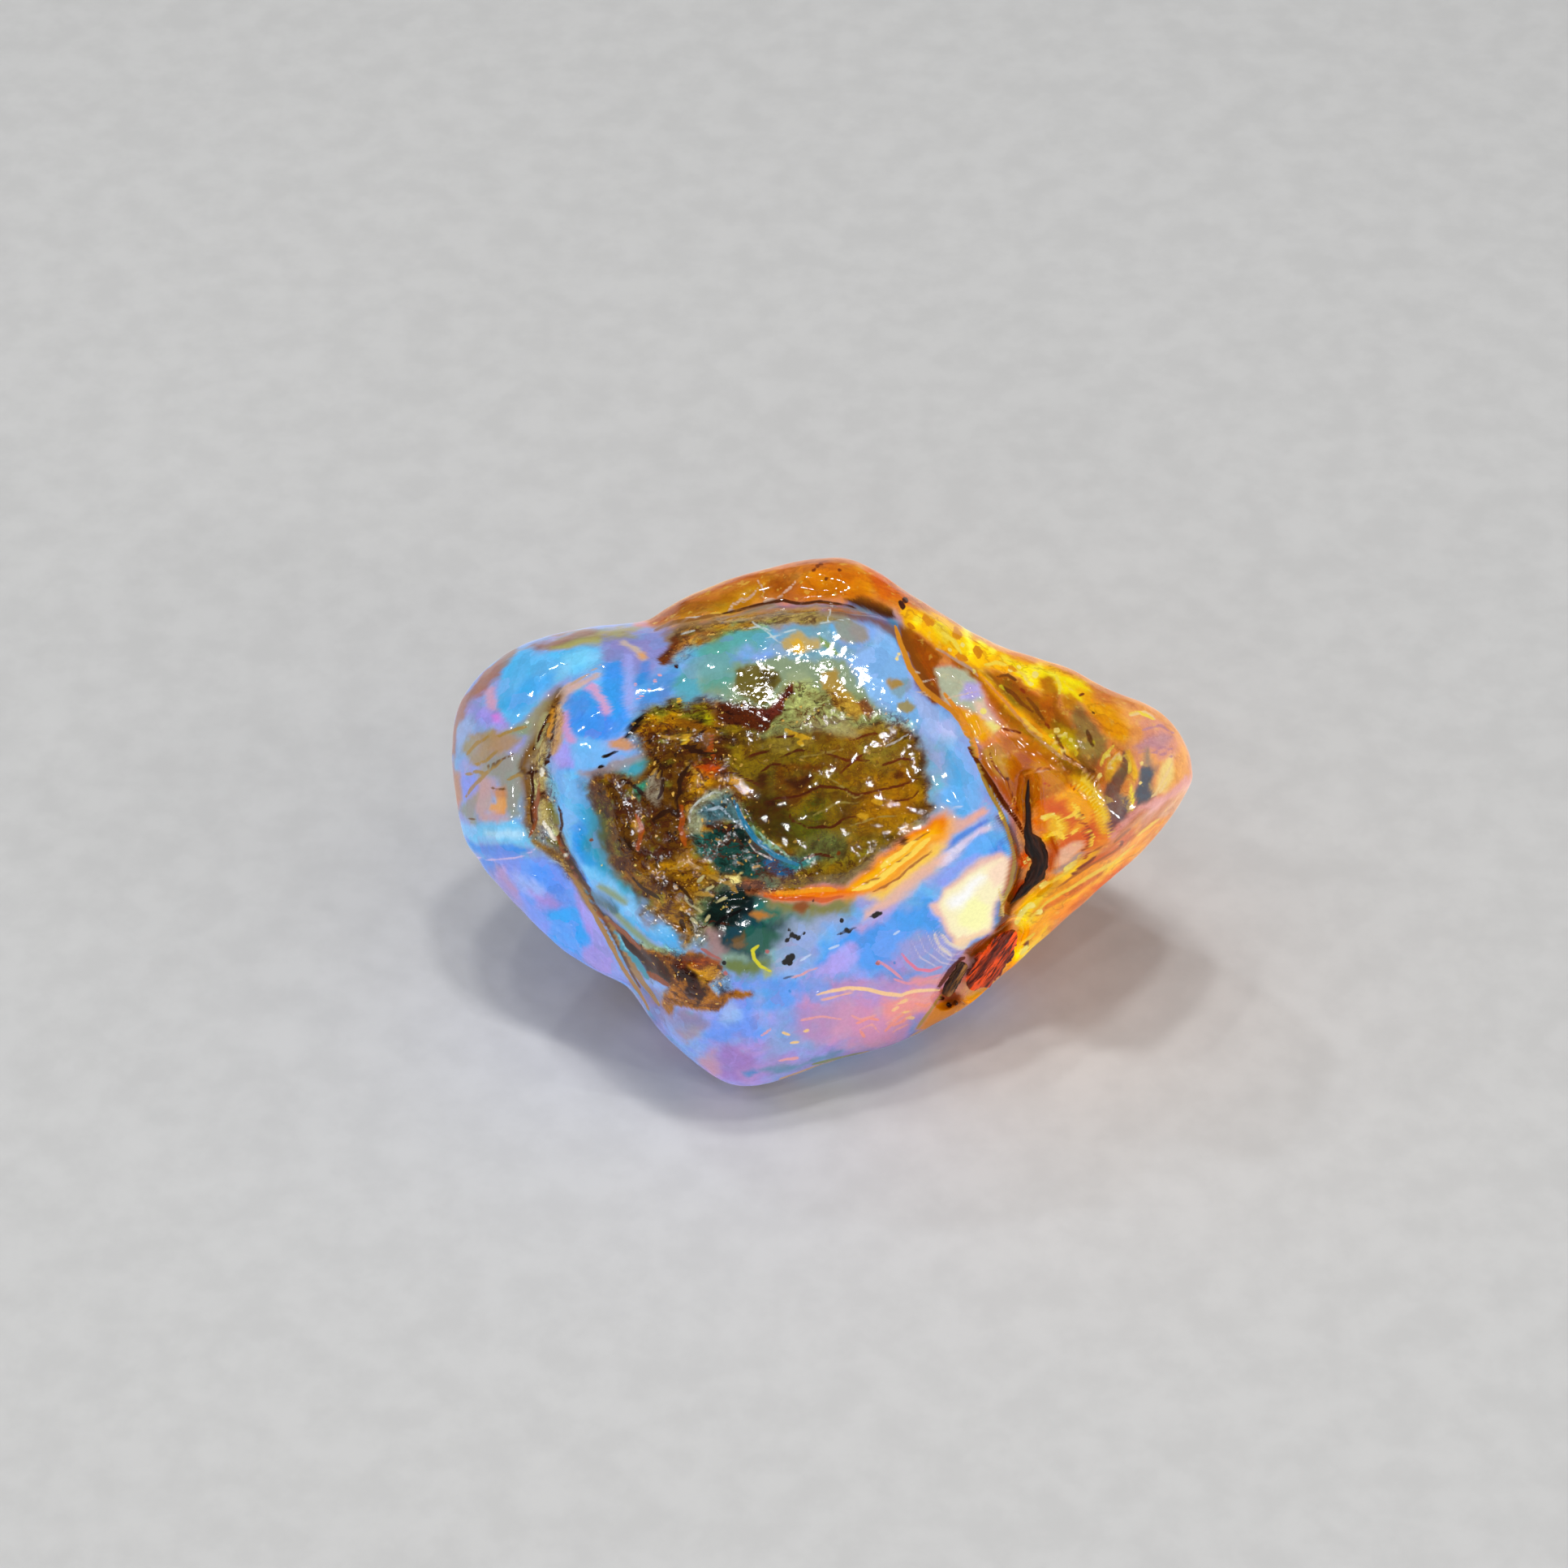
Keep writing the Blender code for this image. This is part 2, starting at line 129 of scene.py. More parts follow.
# Crevices, where flows of resin met, and crests: (route across and up, rise, half width)
FRONT_FOLDS = (
    (((-20.4, 11.4), (-22.8, 6.5), (-23.0, 1.5), (-21.9, -2.5), (-19.6, -6.6), (-16.6, -11.0),
      (-13.8, -15.0)), -1.5, 1.4),
    (((-14.0, 15.6), (-9.4, 17.0), (-4.2, 17.8), (2.4, 18.0), (5.9, 16.8)), -1.3, 1.2),
    (((5.9, 16.8), (7.4, 13.6), (9.2, 10.2), (11.8, 7.3), (13.5, 3.4), (15.0, -0.4), (16.0, -4.6),
      (15.0, -7.6), (12.4, -10.8), (9.6, -14.6)), -1.5, 1.6),
    (((-18.6, 12.0), (-17.4, 16.0)), -0.8, 1.2),
    (((6.4, 17.2), (9.0, 13.4), (13.3, 8.3), (19.5, 3.4), (22.0, 0.6), (23.5, -3.0)), 0.5, 1.7),
    (((29.4, 3.6), (23.5, -3.0), (19.6, -5.2), (15.6, -9.4)), 0.6, 1.7),
    (((-21.0, 9.0), (-21.4, 3.6), (-20.4, -2.0), (-17.2, -7.8), (-12.6, -12.0), (-7.0, -14.4)),
     0.7, 1.4),
    (((-28.6, -1.2), (-25.0, -1.6), (-21.6, -2.6)), 0.6, 1.3),
)
BACK_FOLDS = (
    (((-19.0, 15.0), (-13.0, 9.0), (-9.5, 1.0), (-11.5, -8.0), (-14.0, -14.0)), -1.4, 2.0),
    (((9.0, 17.0), (7.5, 9.0), (12.0, 1.0), (17.0, -6.0)), -1.2, 2.0),
)

# Low swells of the polished skin: (radians per millimetre across, up and out, phase, height)
SWELLS = (
    (0.52, 0.31, 0.20, 0.4, 0.16),
    (-0.35, 0.62, 0.27, 1.9, 0.14),
    (0.23, -0.48, 0.66, 3.1, 0.12),
    (0.95, 0.42, -0.55, 5.0, 0.06),
)
SWELL_FLATTENING = 1.6

# The skin's grid: squares along each side of its front and back grids, how far those reach as a
# share of the rim, the rings between them, and how often each point is drawn to the middle of its
# neighbours, so that edges wear as on the solid
CORE_SQUARES = 150
CORE_REACH = 0.62
FRONT_RINGS, BACK_RINGS = 62, 20
WEAR_PASSES = 30

# Each bit of bark is a strip along a route of stations: (across, up, half width)
SPLINTER_ROUTE = (
    (16.2, 3.5, 0.10), (16.2, 1.9, 0.18), (16.3, 0.3, 0.22), (16.3, -0.9, 0.35), (16.8, -1.8, 0.80),
    (17.3, -2.7, 0.70), (17.2, -3.5, 0.70), (16.9, -4.2, 0.75), (16.4, -4.9, 0.50), (15.7, -5.7, 0.30),
    (14.9, -6.5, 0.12),
)
SCRAP_ROUTE = (
    (15.4, -8.6, 0.45), (14.6, -9.7, 0.95), (13.6, -11.1, 1.25), (12.5, -12.5, 1.15),
    (11.8, -13.4, 0.55),
)
TWIG_ROUTE = ((11.4, -11.2, 0.45), (10.6, -12.5, 0.50), (9.8, -13.9, 0.50))

# Bits of bark: (piece, slot, solid, route, thickness, seed, dark and light fibres, roughness, shine of
# resin, strength of its painted glow)
BARKS = (
    ("charred_splinter", "charred_bark", "bark_splinter", SPLINTER_ROUTE, 1.3, 101,
     (0.003, 0.001, 0.001), (0.060, 0.014, 0.004), 0.60, 0.05, 0.0),
    ("soaked_scrap", "resin_soaked_bark", "bark_scrap", SCRAP_ROUTE, 1.2, 103,
     (0.045, 0.004, 0.001), (0.85, 0.075, 0.004), 0.30, 0.25, 0.7),
    ("ridged_twig", "brown_twig", "bark_twig", TWIG_ROUTE, 1.0, 107,
     (0.022, 0.006, 0.001), (0.42, 0.17, 0.035), 0.45, 0.10, 0.2),
)
FIBRE_HEIGHT = 0.06
STRIP_RINGS = 120
STRIP_SIDES = 48
BARK_INSET = 0.2
BARK_GAP = 0.35

# Streaks with a half width under the limit are threads. A thread's colour is kept this far past its
# edge, in millimetres
THREAD_LIMIT = 0.30
THREAD_REACH = 0.5

# The noise that edges wander by, how far clouds do as a share of their wobble, and how far flecks do
WANDER_NOISE = (2.4, 5, 0.62)
WANDER_SEEDS = (11, 23)
WANDER = 1.7
FLECK_WANDER = 0.25

# The face's paint and relief fade out where the unit ball turns behind the rim: (depth, width)
PAINT_FADE = (-0.30, 0.35)
RELIEF_FADE = (-0.10, 0.30)
RIPPLE_HEIGHT = 0.035

# The noise draws from a list of values, at places scrambled by three large primes
NOISE_VALUES = 4096
NOISE_PRIMES = (73856093, 19349663, 83492791)

# Outlines and routes are pairs of steps across and down from the corner of a window round the stone:
# the pair over the stone's middle, and the drawn millimetres in each step
PICTURE_MIDDLE = (483.5, 383.5)
PICTURE_STEP = 0.0653

# The eye is on this axis across and up, and this far from the face plane, in drawn millimetres
EYE_AXIS = (-3.10, 3.10)
EYE_DISTANCE = 420.4


def table(text):
    """The rows of a table: any name, a colour of six hex digits if there is one, the numbers, then the
    outlines or routes. A line that starts with a space carries on the row above."""
    rows = []
    for line in text.strip().replace("\n ", " ").split("\n"):
        *name, values, outlines = line.split(": ")
        values = [value if len(value) == 6 else float(value) for value in values.split()]
        rows.append((*name, *values, *outlines.split("; ")))
    return rows


# Broad ground colours: (name, colour, strength, border, wobble, outline)
GROUNDS = table("""
left lobe: 90a8d0 1 2 0.5: 10,130 190,110 270,130 250,230 160,270 150,370 190,460 270,620 170,630 10,430
dome sky: 74b8ee 1 1.5 0.8: 170,200 230,140 370,120 530,120 580,150 670,270 730,430 670,550 470,690 330,660
 170,450 140,330
lower flank: 86a8ee 1 3 0.8: 330,560 430,550 480,500 590,480 700,500 650,610 530,680 370,730 270,640
lower lilac: a892d8 1 3 1: 320,660 400,635 470,595 570,570 650,560 650,630 530,680 370,730 310,700
right lobe: ee9410 1 0.4 0.15: 570,105 610,220 655,252 670,275 697,350 712,380 720,410 722,435 708,500
 685,527 660,542 635,570 620,595 600,660 770,620 990,420 970,190 670,70
top rim: e08618 1 0.5 0.2: 250,145 320,142 370,127 430,115 510,112 555,118 585,145 620,130 570,30 370,30
 250,100
""")

# Where the amber is clear, from 0 to 1: (value, border, wobble, outline)
CLEARNESS = table("""
0.62 1 0.3: 582,135 620,225 655,252 675,285 705,345 725,410 720,470 706,510 685,535 650,605 610,670 770,630
 990,420 970,190 670,70 580,90
0.45 0.8 0.3: 270,135 430,108 510,105 570,115 590,130 570,30 370,30 250,100
0.3 1.5 0.8: 375,260 470,250 550,260 590,300 590,370 530,420 450,410 380,380
0.2 0.8 0.4: 624,196 650,190 674,208 710,262 696,275 675,280 655,265 626,220
0.3 1 0.4: 578,115 620,122 665,158 732,182 780,190 820,228 800,240 765,225 725,215 630,174 600,146
0.3 1 0.4: 850,406 910,370 882,418 760,516 710,566 708,530 732,480 770,452
0.25 1.2 0.4: 745,370 775,335 810,325 832,360 842,410 780,432 758,410
0.2 1.5 0.5: 850,230 910,250 945,300 940,350 890,380 850,370 870,300
""")

# Clouds of colour, painted one over another: (name, colour, strength, border, wobble, outline)
# Sky facet glint and ledge white are painted highlights, and ledge shade is painted shade under the ledge
LEFT_LOBE_CLOUDS = table("""
sky facet: 62c0f4 1 0.5 0.25: 84,232 90,185 110,173 215,167 212,185 170,202 142,226 125,248 100,264 88,255
sky facet glint: 86d8fb 0.9 1.2 0.6: 160,185 190,173 215,170 205,188 170,202 150,215
sky facet deep: 46aef2 0.8 1 0.5: 102,220 125,205 150,205 140,225 110,242 92,242
mauve shoulder: 9894b8 0.9 0.8 0.4: 36,255 60,240 82,242 95,260 85,268 68,267 55,275 42,295 30,300
lilac corner: a79cf0 0.9 0.7 0.4: 48,246 70,242 86,250 96,263 82,267 66,260
pink corner: e0a5b8 0.9 0.5 0.4: 66,222 80,218 88,235 86,246 76,242 68,232
pink spark: e67bdc 0.9 0.5 0.2: 78,251 87,250 89,259 81,261
ochre shoulder: a8682c 0.9 0.6 0.6: 52,232 82,196 86,206 70,222 60,238
pale blue dots: 9ab8e0 0.8 0.8 0.5: 36,260 55,248 62,265 52,285 36,295
olive facet: 8c9c5c 0.95 0.6 0.4: 98,265 122,252 138,238 152,238 142,258 125,273 110,276 88,273
olive grey: 9a9870 0.8 0.8 0.5: 122,250 146,238 142,275 125,305 110,300 118,275
ring blob: a8904e 0.95 0.5 0.35: 40,295 54,275 70,268 88,272 76,306 64,314 50,308
ring blob core: a89a88 0.7 0.8 0.4: 54,285 64,278 68,288 60,300 50,300
gold wedge: b08c34 0.9 0.5 0.4: 68,272 95,270 110,278 102,292 85,302 78,300 80,285
grey mauve field: 9c9878 0.95 0.7 0.5: 82,300 110,295 120,310 115,375 102,382 95,345 82,330 66,328 60,320
rose field: c8a08c 0.9 0.6 0.4: 55,332 70,326 82,332 80,355 72,370 82,385 68,384 58,370 54,355
honey square: e8a030 1 0.25 0.25: 80,343 94,340 98,355 96,373 82,374 72,368 76,360 84,360
honey square rim: c8862c 0.8 0.3 0.2: 78,342 95,338 97,350 85,354 80,350
rose under: d4a49a 0.8 0.6 0.4: 74,370 98,373 102,382 88,387 74,382
blue wedge: 7d9cf0 0.95 0.5 0.35: 36,322 62,325 58,342 48,355 40,358 36,340
amber edge: c98a48 0.9 0.4 0.2: 28,318 36,320 40,355 36,370 30,355
olive band: 9c9468 0.8 0.5 0.4: 38,370 48,355 60,345 56,370 60,385 48,390
cyan ledge: 7cccf8 1 0.5 0.35: 38,392 58,382 110,382 125,392 138,408 132,418 110,412 44,406
ledge white: c8ecff 0.8 0.7 0.3: 68,394 110,392 122,398 110,404 70,402
ledge shade: 3f8cea 1 0.4 0.35: 44,408 110,415 126,420 110,428 74,428 56,422
lower facet: 709cf8 1 0.4 0.2: 60,428 146,428 170,450 218,530 245,585 200,580 130,530 80,465
lower facet blue: 5a94f8 0.95 0.6 0.5: 125,438 154,438 170,462 164,472 142,472 122,454
lower facet pale: a8bcf8 0.8 0.8 0.6: 102,448 120,452 138,470 142,482 120,478 104,462
lower facet rose: b890e0 0.85 0.8 0.4: 122,472 146,474 160,488 146,496 128,488
lower facet sky: 38a4fc 1 0.6 0.4: 142,500 170,488 184,488 192,510 200,546 174,542 150,522
lower facet lilac: a898ec 1 0.5 0.3: 170,448 202,498 234,566 218,566 202,546
lower corner: 9c90dc 0.9 0.6 0.4: 190,535 218,535 242,578 210,574 185,552
violet rim: a08cb0 0.7 0.6 0.3: 70,435 92,455 110,480 125,508 110,495 82,462
rose rim: c49ab8 0.8 0.5 0.3: 76,432 92,440 110,470 106,476 86,452
top edge olive: a89a38 1 0.5 0.3: 138,165 160,155 200,148 245,142 260,145 250,155 170,168 146,170
top edge brown: 98672c 0.9 0.4 0.25: 110,173 170,150 210,145 205,152 138,169
top edge lime: b8b040 0.8 0.5 0.3: 146,166 190,158 215,158 210,165 170,169
rim tan: a87c50 0.9 0.3 0.3: 22,300 26,275 40,238 66,200 98,170 110,172 79,204 54,236 37,270 30,300
rim tan low: b08c70 0.8 0.4 0.3: 22,300 30,305 31,355 40,392 36,404 24,360
""")

DOME_RIM_CLOUDS = table("""
corner grey blue: 8890c8 1 0.8 0.5: 215,155 292,140 302,150 270,200 245,208 225,200 212,180
corner cream: d8c0a0 0.9 0.3 0.3: 236,158 242,155 266,182 260,185 246,173
corner honey: e8a848 0.9 0.3 0.2: 254,176 264,173 267,181 258,184
blue column: 3c9cf4 1 0.5 0.4: 214,192 230,186 238,205 236,235 246,258 228,275 212,250 210,220
pale column: a0b0f4 0.9 0.6 0.4: 234,175 248,182 250,220 244,250 236,235 238,205
small blue: 3a8cdc 0.95 0.4 0.3: 252,208 258,190 268,182 272,196 266,210 254,216
blue bay: 4a98e4 1 0.8 0.5: 250,238 260,215 282,198 300,205 292,225 254,250
speckled blue: 5c94d8 0.9 0.8 0.6: 266,200 295,185 305,210 285,230 270,232
blue eye: 429ef4 1 0.5 0.5: 166,232 176,220 192,218 206,232 222,242 230,260 226,274 205,278 182,270 170,254
blue eye deep: 3090f4 0.9 0.7 0.5: 174,255 208,242 224,262 218,272 188,274
pink loop: e4a8cc 0.95 0.35 0.3: 184,216 198,210 208,220 220,250 212,254 194,224
pink left: dca0cc 0.9 0.4 0.3: 162,250 170,248 180,285 170,282 164,270
lilac left: a8a0f2 0.95 0.6 0.4: 158,285 170,282 182,295 176,315 162,320 154,305
sky left: 7cc0f8 0.95 0.7 0.6: 172,282 205,276 222,285 218,305 192,315 176,310
peach blue edge: e0b89c 0.9 0.3 0.25: 160,225 170,212 206,198 208,204 185,213 170,226 163,242
grey shelf: a09088 0.95 0.5 0.5: 176,318 218,312 238,295 260,295 270,305 256,315 230,320 200,322 182,326
honey nook: d89838 0.95 0.4 0.4: 222,278 238,276 250,284 240,292 226,288
teal shelf: 3f9c98 0.95 0.6 0.5: 222,325 240,305 260,300 266,315 245,338 225,336
left rim blue: 58b8f8 1 0.7 0.5: 148,325 170,315 186,325 192,355 192,390 198,420 215,448 245,462 270,482
 295,515 320,535 305,545 275,532 222,482 190,460 170,432
left rim pale: 8ad0fc 0.8 0.8 0.5: 160,325 175,320 180,355 178,385 186,420 205,445 235,462 270,490 296,520
 285,525 255,498 192,452 174,425
left rim deep: 1f8cf0 0.7 0.8 0.5: 176,385 192,385 198,420 208,440 192,438 178,415
teal inside: 2894a4 1 1.2 0.5: 184,355 206,365 215,410 230,438 265,458 286,482 276,492 205,444 190,410
green inside: 2c5c40 1 1.2 0.5: 202,362 226,370 232,410 250,440 234,450 212,425 202,395
teal corner: 55a8a4 1 1 0.7: 308,185 328,168 355,165 375,165 380,180 330,228 308,230 296,210
teal top: 5fa89c 0.95 1 0.7: 340,165 350,140 385,130 415,142 420,160 395,170 360,175
green band: 77884a 0.95 0.8 0.6: 326,160 350,142 390,128 415,132 400,142 365,152 346,170
gold band: 94722a 1 0.6 0.5: 282,158 302,140 340,130 390,119 430,113 470,113 520,120 510,134 480,142 430,140
 370,142 338,158 308,170 294,175
umber band: 9a6420 0.9 0.6 0.5: 290,175 308,155 332,142 350,145 336,160 315,170 300,182
straw band: a08c58 0.9 0.8 0.6: 400,136 430,120 480,116 540,123 526,134 490,140 455,147 425,152
sky top: 7ca8b4 1 0.8 0.6: 405,160 490,136 505,160 530,165 555,145 570,162 590,195 598,220 570,220 530,190
 420,182
sky top right: 98c0f0 1 0.8 0.5: 545,140 565,145 580,170 600,215 575,220 555,190 548,165
olive round: 9c9058 0.85 0.4 0.3: 499,138 518,132 536,138 542,152 534,160 516,161 502,155
blue crescent: 4496dc 1 0.4 0.3: 376,180 398,183 418,176 428,182 412,192 390,192
right sky: 6cbcfa 1 0.6 0.4: 636,295 652,285 684,355 675,370 650,380 634,372 630,355 640,332 634,312
right sky pale: a0c8f4 1 0.8 0.5: 590,232 620,232 648,255 662,280 642,290 622,278 605,262
right sky white: ccd0ff 0.9 0.7 0.4: 625,258 642,256 654,272 648,284 632,276
right moss: 98ac94 0.6 3.5 1.4: 598,260 622,278 636,305 638,332 628,360 615,370 600,330
right teal: 6cb0a8 0.7 1.8 1: 610,330 628,325 636,345 625,360 612,355
peach band: f0b8a0 1 0.5 0.35: 620,395 630,382 655,378 685,364 690,372 640,400 622,418
deep stripe: 4484e4 1 0.25 0.2: 636,416 642,404 660,392 688,380 690,385 666,396
white lilac band: e8d8f0 1 0.4 0.3: 618,432 655,404 692,387 694,393 668,406 652,422 630,438
white lilac core: f4ecff 0.9 0.5 0.3: 630,422 650,410 662,410 652,422 635,432
bright blue patch: 54b0fa 1 0.4 0.3: 662,416 680,400 698,392 706,400 704,416 654,438
patch shade: 3a86ea 0.8 0.4 0.3: 692,416 706,404 706,422 685,430
lilac wedge: 8fa0f2 0.9 0.6 0.5: 620,452 638,438 662,430 685,426 670,438 645,448 630,460
""")

WINDOW_CLOUDS = table("""
debris: 7a4e10 1 1.5 0.9: 248,255 260,242 282,236 302,226 322,232 342,222 362,232 385,238 420,232 445,222
 460,228 480,220 510,222 578,252 596,270 606,300 612,370 600,395 572,418 540,432 515,450 470,460 430,462
 402,458 385,468 370,472 352,485 346,510 332,526 315,536 296,526 285,510 270,495 270,486 240,454 228,436
 222,406 212,378 192,354 184,332 198,318 252,322 262,306 248,280
olive window: 84701c 1 1.2 0.8: 350,270 390,250 450,240 510,238 570,260 596,300 600,370 570,410 520,435
 470,450 430,445 455,415 420,410 385,380 375,345 370,310
khaki patch: a09040 0.75 1.2 1.4: 405,288 455,272 492,285 470,302 425,304
khaki patch two: 8c8c3c 0.7 1.4 1.4: 510,295 555,285 580,305 550,325 515,318
green patch: 4c6018 0.8 1.4 1.4: 415,370 455,358 485,375 460,402 430,395
rust patch low: 6c2c08 0.7 0.8 1.2: 410,325 455,318 492,328 470,346 430,346
moss haze: 6c8450 0.8 1.6 0.8: 455,410 480,390 520,400 510,420 470,432 445,426
straw haze: a8964c 0.8 1.6 1: 445,240 510,220 570,245 580,275 530,275 480,260
gold haze: b8881c 0.8 1.6 1: 530,340 580,325 605,360 590,400 555,400 532,370
dark pool: 4a4008 0.95 1.4 0.7: 385,340 415,330 445,355 455,380 445,405 415,410 390,388 380,365
moss top: 6c7424 0.8 1 0.8: 270,238 302,228 340,240 342,255 310,250 282,260 262,258
left umber: 5c3c0c 0.95 1.4 0.9: 260,290 300,275 340,295 350,320 330,355 315,390 310,430 270,430 240,410
 215,380 205,345 240,330
left gold: 98701c 0.85 1.4 0.9: 270,430 330,420 370,455 350,480 332,520 310,530 285,500 260,460
left moss: 4c5418 0.9 1 0.7: 208,355 222,365 232,400 222,420 206,400
lime haze: 98981c 0.8 0.8 0.8: 332,238 348,232 350,250 340,262 332,254
grey shard: 8c8890 0.95 0.3 0.3: 266,328 278,320 284,335 286,355 282,365 270,355 264,340
teal shard: 2f8c8c 0.9 0.4 0.4: 250,338 266,325 268,342 258,352
fire spot: c85008 0.8 0.9 0.7: 320,320 350,308 360,320 340,330 325,332
""")

# Mint veil is a painted highlight, pale where the dome's top catches the light
DOME_TOP_CLOUDS = table("""
mint veil: b4dcd4 0.85 0.7 0.7: 332,192 346,176 362,185 358,206 342,212
sage ground: 8c9c74 0.95 0.9 0.6: 338,200 375,182 430,182 470,185 510,182 545,200 565,230 575,255 550,265
 510,260 470,270 430,275 405,275 385,240 340,220
teal left: 5ca498 0.9 1.6 0.9: 326,172 345,158 370,160 376,200 372,222 350,212 332,192
sage veil: a0ac84 0.8 0.8 0.5: 430,205 455,200 530,275 490,275 455,260 435,230
olive blob: 6a5c1c 0.95 0.35 0.4: 376,194 388,188 405,192 420,202 428,215 420,228 408,234 388,228 378,216
olive core: 4c3c0c 0.9 0.4 0.4: 398,198 418,204 422,218 405,216
straw wedge: c8a860 0.9 0.4 0.4: 430,160 455,150 478,158 478,170 455,176 435,170
gold chips: e0b040 0.95 0.2 0.3: 448,160 460,158 464,174 450,176
moss streak: 849c44 0.9 0.25 0.3: 476,152 490,160 506,178 496,176 480,165
tan patches: b08c3c 0.9 0.4 0.5: 480,200 500,198 540,250 520,255 500,240 485,220
rust patch: 7c3c20 0.85 0.3 0.4: 528,238 542,232 552,245 548,258 534,250
sky wedge: 8cbcf0 0.95 0.9 0.5: 512,182 555,158 572,170 602,230 612,262 592,275 570,262 540,220 520,202
grey teal: 84a0a8 0.85 0.4 0.4: 570,208 590,205 598,220 582,230 570,225
olive drop: a08c40 0.9 0.3 0.3: 576,236 592,232 602,245 590,252 578,248
amber drop: b08830 0.9 0.25 0.3: 564,210 576,206 582,214 570,220
""")

CRUST_CLOUDS = table("""
murk: 6c8878 0.95 1.8 0.7: 336,470 370,456 460,482 502,484 484,504 458,520 436,542 426,568 400,582 375,580
 338,546 328,520
murk grey: 8c8c94 0.9 1.2 0.6: 328,518 365,506 382,528 375,550 350,552 332,540
murk dark: 2c4c48 0.9 1 0.7: 342,480 370,462 406,468 430,492 442,516 428,542 395,554 370,542 340,502
bark crust: 4c2008 1 0.25 0.5: 354,250 360,238 375,235 400,238 420,236 445,220 450,228 415,266 385,270
 365,266
crust wine: 6a2c28 0.8 0.5 0.5: 400,238 430,232 446,222 432,246 410,256
brown tooth: 6c3408 1 0.3 0.35: 278,185 300,152 304,160 298,174 298,185 285,188
lens veil: 8c9490 1 0.5 0.3: 315,392 316,372 328,356 346,344 362,344 376,354 385,368 382,386 350,376 334,382
 332,398 320,402
lens blue: 3f6a94 0.95 0.6 0.5: 326,376 340,360 360,354 376,366 378,382 360,378 338,386
lens slate: 4c7494 0.9 0.5 0.4: 350,348 366,354 386,384 375,382
teal body: 17454e 1 0.5 0.6: 322,412 352,384 386,386 398,410 414,428 410,448 390,456 370,446 354,452 342,432
teal ink: 081c24 0.9 0.5 0.5: 354,384 382,384 384,394 370,396 356,392
teal limb: 2e6c7c 0.9 0.6 0.5: 318,400 338,396 342,422 328,416
green halo: 5c8c62 0.85 0.8 0.3: 384,360 394,382 414,406 435,420 420,422 398,404 382,380
deep blue drop: 1858ac 1 0.5 0.4: 406,434 425,424 448,428 456,438 435,448 412,444
teal tail: 2f8098 0.95 0.6 0.4: 425,422 480,428 470,436 450,440 432,432
rust cloud: 7c4028 0.9 0.5 0.5: 382,456 405,452 415,462 395,472 378,468
smoke green: 5c8480 0.8 0.7 0.5: 405,450 430,454 432,466 415,470
star: ece4b4 1 0.12 0.12: 360,448 373,451 384,444 378,454 384,462 373,460 368,466 367,456
lower teal: 061c20 1 0.5 0.5: 348,478 365,464 385,466 402,476 405,494 390,504 372,508 356,520 346,510 338,496
lower teal pool: 0c3c44 1 0.6 0.6: 360,520 372,506 394,500 420,504 436,514 432,532 416,544 395,550 375,544
bottle green: 1c5c48 0.9 0.8 0.9: 388,512 420,510 438,522 432,538 408,548 392,536
murk leaf: 2c7464 0.9 0.5 0.8: 404,488 422,482 434,496 426,508 410,504
murk rust: 7c5c34 0.85 0.5 0.9: 375,518 388,514 392,526 380,532
green corner: 28604c 0.95 0.4 0.5: 435,508 445,498 455,506 448,516
orange veil: c88038 0.9 0.4 0.4: 395,498 415,492 425,498 410,504
sage pool: 8cac98 0.85 0.8 0.8: 363,542 388,540 390,550 368,556
mint patch: 8cc4b8 0.9 0.6 0.6: 410,542 425,536 442,548 436,556 418,554
rose grit: a88484 0.8 1 0.9: 340,516 365,520 375,535 360,542 338,534
moss ground: 6c7c38 0.9 0.9 0.9: 375,552 410,560 425,568 405,578 375,575 362,564
lime spot: a4b078 0.9 0.4 0.3: 410,568 425,562 422,574 414,580
brown island: 9a6210 1 0.3 0.5: 282,608 292,585 285,565 255,535 300,548 320,540 345,550 360,562 338,586
 356,598 378,594 400,596 385,606 350,614 320,612 296,618
island core: 2c0e02 1 0.4 0.8: 288,558 304,552 320,568 332,588 326,604 310,600
island rust: a04c08 0.9 0.4 0.7: 316,552 342,544 360,554 354,572 332,578 322,566
island top: 5a2404 0.95 0.4 0.5: 296,552 316,544 320,560 304,568
island gold: b88c30 0.8 0.6 0.5: 320,565 350,560 355,575 332,585
dark bank: 3a2006 0.95 0.4 0.4: 230,520 282,555 300,575 292,585 235,538
""")

ORANGE_BAND_CLOUDS = table("""
band bank: 7c6418 0.9 0.8 0.5: 420,458 500,438 530,428 552,415 562,426 536,448 510,462 450,464
band olive: 84803c 0.95 1 0.5: 415,478 470,478 525,474 520,492 480,502 435,496
band glow: ffb038 0.9 1.6 0.4: 510,464 534,450 604,390 630,372 640,380 636,406 615,434 582,460 550,476
 515,478
band orange: f07c0c 1 0.7 0.4: 402,470 430,463 515,461 616,380 630,378 628,400 608,424 580,450 556,468
 520,478 470,480 425,478
band gold: ffb81c 1 0.9 0.4: 514,466 620,386 626,400 570,452 536,470
band straw: ffd050 0.95 0.9 0.3: 540,476 570,458 622,410 634,410 616,434 586,462 555,482
band peach: f8c0a0 0.85 0.8 0.3: 534,492 562,476 622,426 638,420 624,442 592,472 556,494 532,504
band lilac: c8a4d8 0.8 0.8 0.3: 520,512 574,484 566,498 530,520
rust spot: 8c4408 0.95 0.5 0.3: 446,482 458,478 464,488 454,498 446,492
grey lilac: a0b0d4 0.9 1.6 0.8: 430,520 470,498 510,500 470,530 455,560 430,570 420,550
""")

